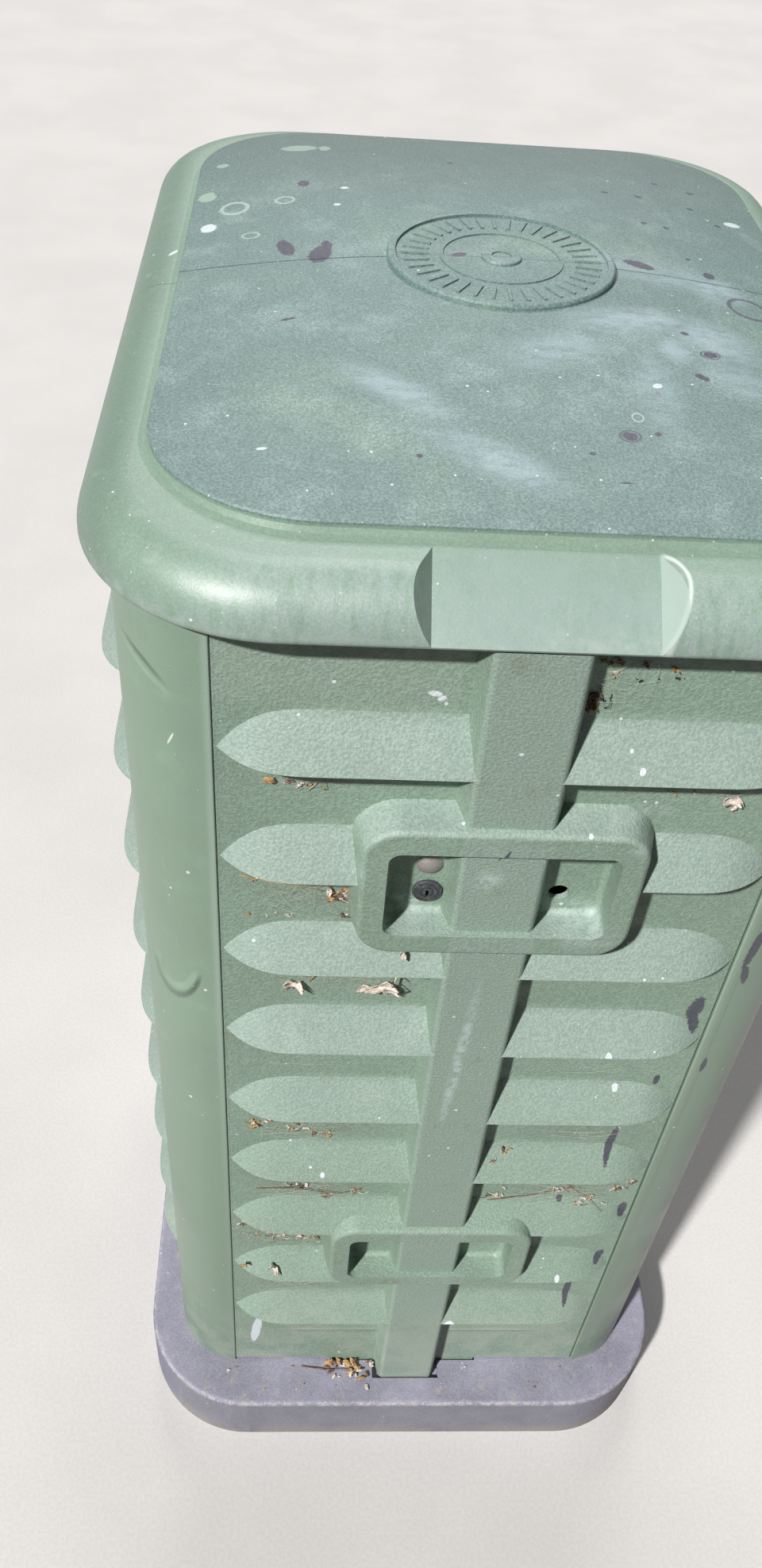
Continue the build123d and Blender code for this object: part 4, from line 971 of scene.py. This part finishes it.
def make_upper_litter():
    """What hangs under the lips and beside the strap, from the roof to the upper ring."""
    debris = Litter()
    debris.crumb(on_cover(-0.1572, 1.0082, 0.0015), 0.0028, OCHRE)
    debris.crumb(on_cover(-0.1456, 1.007, 0.001), 0.0016, BROWN)
    debris.bunch(-0.134, 1.005, 0.022, 0.003, 9, (PALE, BROWN, OCHRE), 0.004)
    debris.web(-0.135, 1.008, 0.05, 0.014, 9)
    debris.bunch(-0.1075, 0.8974, 0.014, 0.01, 26, (BROWN, BROWN, PALE, OCHRE), 0.006)
    debris.bunch(-0.1005, 0.884, 0.006, 0.016, 12, (BROWN, PALE), 0.004)
    debris.bunch(-0.1619, 0.9135, 0.02, 0.004, 9, (OCHRE, PALE), 0.0032)
    debris.bunch(-0.15, 0.873, 0.034, 0.005, 8, (OCHRE, PALE), 0.0032)
    debris.stalk([(-0.178, 0.915), (-0.15, 0.909, 0.002), (-0.118, 0.903, 0.003)], 0.0004, OCHRE)
    debris.web(-0.135, 0.893, 0.075, 0.036, 26)
    debris.flake(on_cover(-0.1382, 0.7964, 0.001), 0.017, 0.0085, 28, PALE, 0.3)
    debris.stalk([(-0.126, 0.796), (-0.1195, 0.8145, 0.004), (-0.117, 0.826, 0.001)],
                 0.0006, OCHRE)
    debris.bunch(-0.0942, 0.8173, 0.018, 0.008, 9, (PALE, OCHRE), 0.004)
    debris.flake(on_cover(-0.0718, 0.7935, 0.0012), 0.026, 0.011, -6, PALE, 0.16)
    debris.flake(on_cover(-0.064, 0.789, 0.001), 0.015, 0.008, 24, PALE, 0.25)
    debris.flake(on_cover(-0.085, 0.7905, 0.0008), 0.012, 0.006, -30, PALE, 0.25)
    debris.stalk([(-0.059, 0.784, 0.003), (-0.056, 0.796, 0.009), (-0.064, 0.805, 0.008),
                  (-0.0602, 0.8155, 0.006), (-0.054, 0.83, 0.006)], 0.0008, DARK)
    debris.stalk([(-0.064, 0.8, 0.008), (-0.0602, 0.82, 0.006), (-0.058, 0.856, 0.004)],
                 0.0009, PALE)
    debris.flake(on_cover(-0.0598, 0.85, 0.006), 0.01, 0.004, 80, PALE, 0.2)
    debris.web(-0.098, 0.806, 0.09, 0.034, 20)
    for x, z, kind in ((0.0402, 1.1147, OCHRE), (0.0515, 1.1128, OCHRE), (0.0656, 1.1116, BROWN),
                       (0.0819, 1.1093, OCHRE), (0.0467, 1.1053, PALE), (0.0455, 1.113, PALE)):
        debris.bunch(x, z, 0.004, 0.003, 3, (kind, OCHRE), 0.0042)
    debris.bunch(0.038, 1.0812, 0.005, 0.008, 11, (OCHRE, OCHRE, BROWN), 0.0062)
    debris.bunch(0.047, 1.083, 0.006, 0.012, 6, (DARK,), 0.003)
    debris.bunch(0.088, 1.103, 0.008, 0.003, 3, (DARK,), 0.003)
    debris.bunch(0.062, 1.101, 0.014, 0.003, 4, (DARK,), 0.0024)
    debris.web(0.056, 1.098, 0.046, 0.04, 18)
    debris.flake(on_cover(0.1459, 1.002, 0.0008), 0.014, 0.009, 20, PALE, 0.26)
    debris.flake(on_cover(0.149, 0.9975, 0.001), 0.008, 0.0045, -50, PALE, 0.3)
    debris.web(0.14, 1.005, 0.04, 0.01, 6)
    debris.bunch(0.125, 1.006, 0.06, 0.002, 5, (OCHRE, PALE), 0.0028)
    debris.finish("dry_litter_upper", "front_cover")


def make_lower_litter():
    """Leaves, stalks and web under the lower louvres of the front cover."""
    debris = Litter()
    for x, z, width, height, count in (
            (-0.1382, 0.587, 0.02, 0.006, 10), (-0.1657, 0.5958, 0.012, 0.004, 6),
            (-0.1103, 0.576, 0.016, 0.006, 10), (-0.1317, 0.4859, 0.014, 0.006, 10),
            (-0.1032, 0.469, 0.012, 0.006, 8), (-0.0777, 0.4779, 0.012, 0.005, 7),
            (-0.175, 0.415, 0.016, 0.01, 12), (-0.151, 0.387, 0.022, 0.01, 18),
            (-0.115, 0.382, 0.016, 0.008, 12), (0.0543, 0.47, 0.012, 0.01, 8),
            (0.1123, 0.4812, 0.018, 0.008, 12), (0.1432, 0.464, 0.016, 0.008, 10),
            (0.169, 0.4868, 0.012, 0.006, 8), (0.1218, 0.4964, 0.01, 0.004, 5),
            (0.1356, 0.5201, 0.008, 0.004, 4), (0.18, 0.4946, 0.01, 0.005, 6),
            (0.0544, 0.5606, 0.006, 0.006, 4), (0.0419, 0.5466, 0.005, 0.006, 4)):
        debris.bunch(x, z, width, height, count, (PALE, OCHRE, BROWN, PALE), 0.0052)
    debris.flake(on_cover(-0.1508, 0.3446, 0.0008), 0.016, 0.006, 62, PALE, 0.35)
    debris.flake(on_cover(-0.1808, 0.3442, 0.0006), 0.008, 0.005, 10, OCHRE, 0.25)
    debris.flake(on_cover(-0.169, 0.59, 0.0006), 0.01, 0.005, -12, OCHRE, 0.25)
    debris.stalk([(-0.168, 0.478), (-0.132, 0.486, 0.004), (-0.09, 0.474, 0.003),
                  (-0.07, 0.48, 0.001)], 0.0006, BROWN)
    debris.stalk([(0.05, 0.462), (0.084, 0.474, 0.004), (0.128, 0.488, 0.002)], 0.0005, BROWN)
    debris.stalk([(0.112, 0.5), (0.143, 0.47, 0.004), (0.16, 0.452, 0.001)], 0.0005, OCHRE)
    for x, z, width, height, count in (
            (-0.136, 0.582, 0.09, 0.026, 22), (-0.12, 0.478, 0.09, 0.028, 22),
            (-0.145, 0.395, 0.08, 0.05, 40), (0.115, 0.478, 0.12, 0.04, 40),
            (0.118, 0.583, 0.08, 0.02, 12), (-0.125, 0.69, 0.08, 0.016, 8),
            (-0.13, 0.278, 0.08, 0.024, 12), (0.11, 0.688, 0.08, 0.016, 6)):
        debris.web(x, z, width, height, count)
    debris.flake((-0.0386, -0.3578, 0.3355), 0.014, 0.006, 8, PALE, 0.3)
    debris.flake((-0.047, -0.358, 0.3345), 0.009, 0.005, -20, OCHRE, 0.3)
    debris.finish("dry_litter_lower", "front_cover")


def make_deck_litter():
    """The small drift of leaves on the plinth, left of the cover's tongue."""
    debris = Litter()
    left, right = DRIFT_X
    for _ in range(46):
        x = rng.uniform(left, right)
        share = (x - left) / (right - left)
        y = DRIFT_Y - abs(rng.gauss(0.0, 0.008)) * (0.6 + share)
        lift = rng.uniform(0.0, 0.006 * (0.4 + share))
        kind = rng.choice((OCHRE, BROWN, PALE, OCHRE, BROWN))
        size = rng.uniform(0.004, 0.011)
        if rng.random() < 0.7:
            debris.flake(on_deck(x, y, lift + 0.0012), size, size * 0.5, rng.uniform(0, 180), kind,
                         rng.uniform(0.1, 0.3), rng.uniform(60, 110))
        else:
            debris.crumb(on_deck(x, y, 0.0008), size * 0.16, kind)
    for _ in range(14):
        x = rng.uniform(*CRUMBS_X)
        if abs(x) < TONGUE_HALF:
            continue
        debris.crumb(on_deck(x, rng.uniform(*CRUMBS_Y), 0.0004), rng.uniform(0.0007, 0.0016),
                     rng.choice((PALE, BROWN, OCHRE)))
    debris.twig([on_deck(-0.118, -0.366, 0.001), on_deck(-0.092, -0.371, 0.003),
                 on_deck(-0.062, -0.372, 0.004)], 0.0007, BROWN)
    debris.twig([on_deck(-0.07, -0.38, 0.001), on_deck(-0.055, -0.371, 0.006),
                 on_deck(-0.041, -0.362, 0.008)], 0.0006, OCHRE)
    debris.finish("dry_litter_deck", "cabinet")


def seen_by_eye(tree):
    """One where the camera looks, straight, in a mirror or through glass, and zero for lighting."""
    path = tree.nodes.new("ShaderNodeLightPath").outputs
    seen = path["Is Camera Ray"]
    for ray in ("Is Glossy Ray", "Is Transmission Ray"):
        either = tree.nodes.new("ShaderNodeMath")
        either.operation = "MAXIMUM"
        tree.links.new(seen, either.inputs[0])
        tree.links.new(path[ray], either.inputs[1])
        seen = either.outputs[0]
    return seen


def make_floor():
    """A pale plain floor that throws little light back."""
    bpy.ops.mesh.primitive_plane_add(size=FLOOR_SIZE, location=(0.0, 0.0, 0.0))
    floor = bpy.context.object
    floor.name = "floor"
    coat = Coat("floor_finish", shade(FLOOR_PALE, FLOOR_BOUNCE), 0.85)
    coat.cover(seen_by_eye(coat.tree), FLOOR_PALE)
    coat.dim(coat.ramp(coat.noise(3.0, 4.0), 0.3, 0.7, 0.96, 1.03))
    coat.dim(coat.ramp(coat.noise(260.0, 3.0), 0.35, 0.65, 0.96, 1.03))
    floor.data.materials.append(coat.done())


def make_lamp(name, travel, strength, angle, colour):
    lamp = bpy.data.lights.new(name, "SUN")
    lamp.energy = strength
    lamp.angle = math.radians(angle)
    lamp.color = colour
    made = bpy.data.objects.new(name, lamp)
    made.rotation_euler = Vector(travel).to_track_quat("-Z", "Y").to_euler()
    bpy.context.scene.collection.objects.link(made)


def make_light():
    """The two lamps, and a room that is pale to look at and dim as light."""
    make_lamp("key", KEY_TRAVEL, KEY_STRENGTH, KEY_ANGLE, KEY_COLOUR)
    make_lamp("fill", FILL_TRAVEL, FILL_STRENGTH, FILL_ANGLE, FILL_COLOUR)
    world = bpy.data.worlds.new("studio")
    world.use_nodes = True
    tree = world.node_tree
    seen = seen_by_eye(tree)
    mixed = tree.nodes.new("ShaderNodeMix")
    mixed.data_type = "RGBA"
    tree.links.new(seen, mixed.inputs["Factor"])
    mixed.inputs["A"].default_value = rgba(shade(ROOM_COLOUR, ROOM_STRENGTH))
    mixed.inputs["B"].default_value = rgba(ROOM_PALE)
    tree.links.new(mixed.outputs["Result"], tree.nodes["Background"].inputs["Color"])
    bpy.context.scene.world = world


def make_camera():
    data = bpy.data.cameras.new("camera")
    data.lens = CAMERA_LENS
    data.sensor_width = CAMERA_SENSOR
    camera = bpy.data.objects.new("camera", data)
    camera.location = CAMERA_PLACE
    camera.rotation_euler = [math.radians(turn) for turn in CAMERA_TURN]
    bpy.context.scene.collection.objects.link(camera)
    bpy.context.scene.camera = camera


make_camera()
dress_nodes()
make_edge_bead()
make_upper_litter()
make_lower_litter()
make_deck_litter()
make_floor()
make_light()
bpy.context.scene.view_settings.view_transform = "Standard"
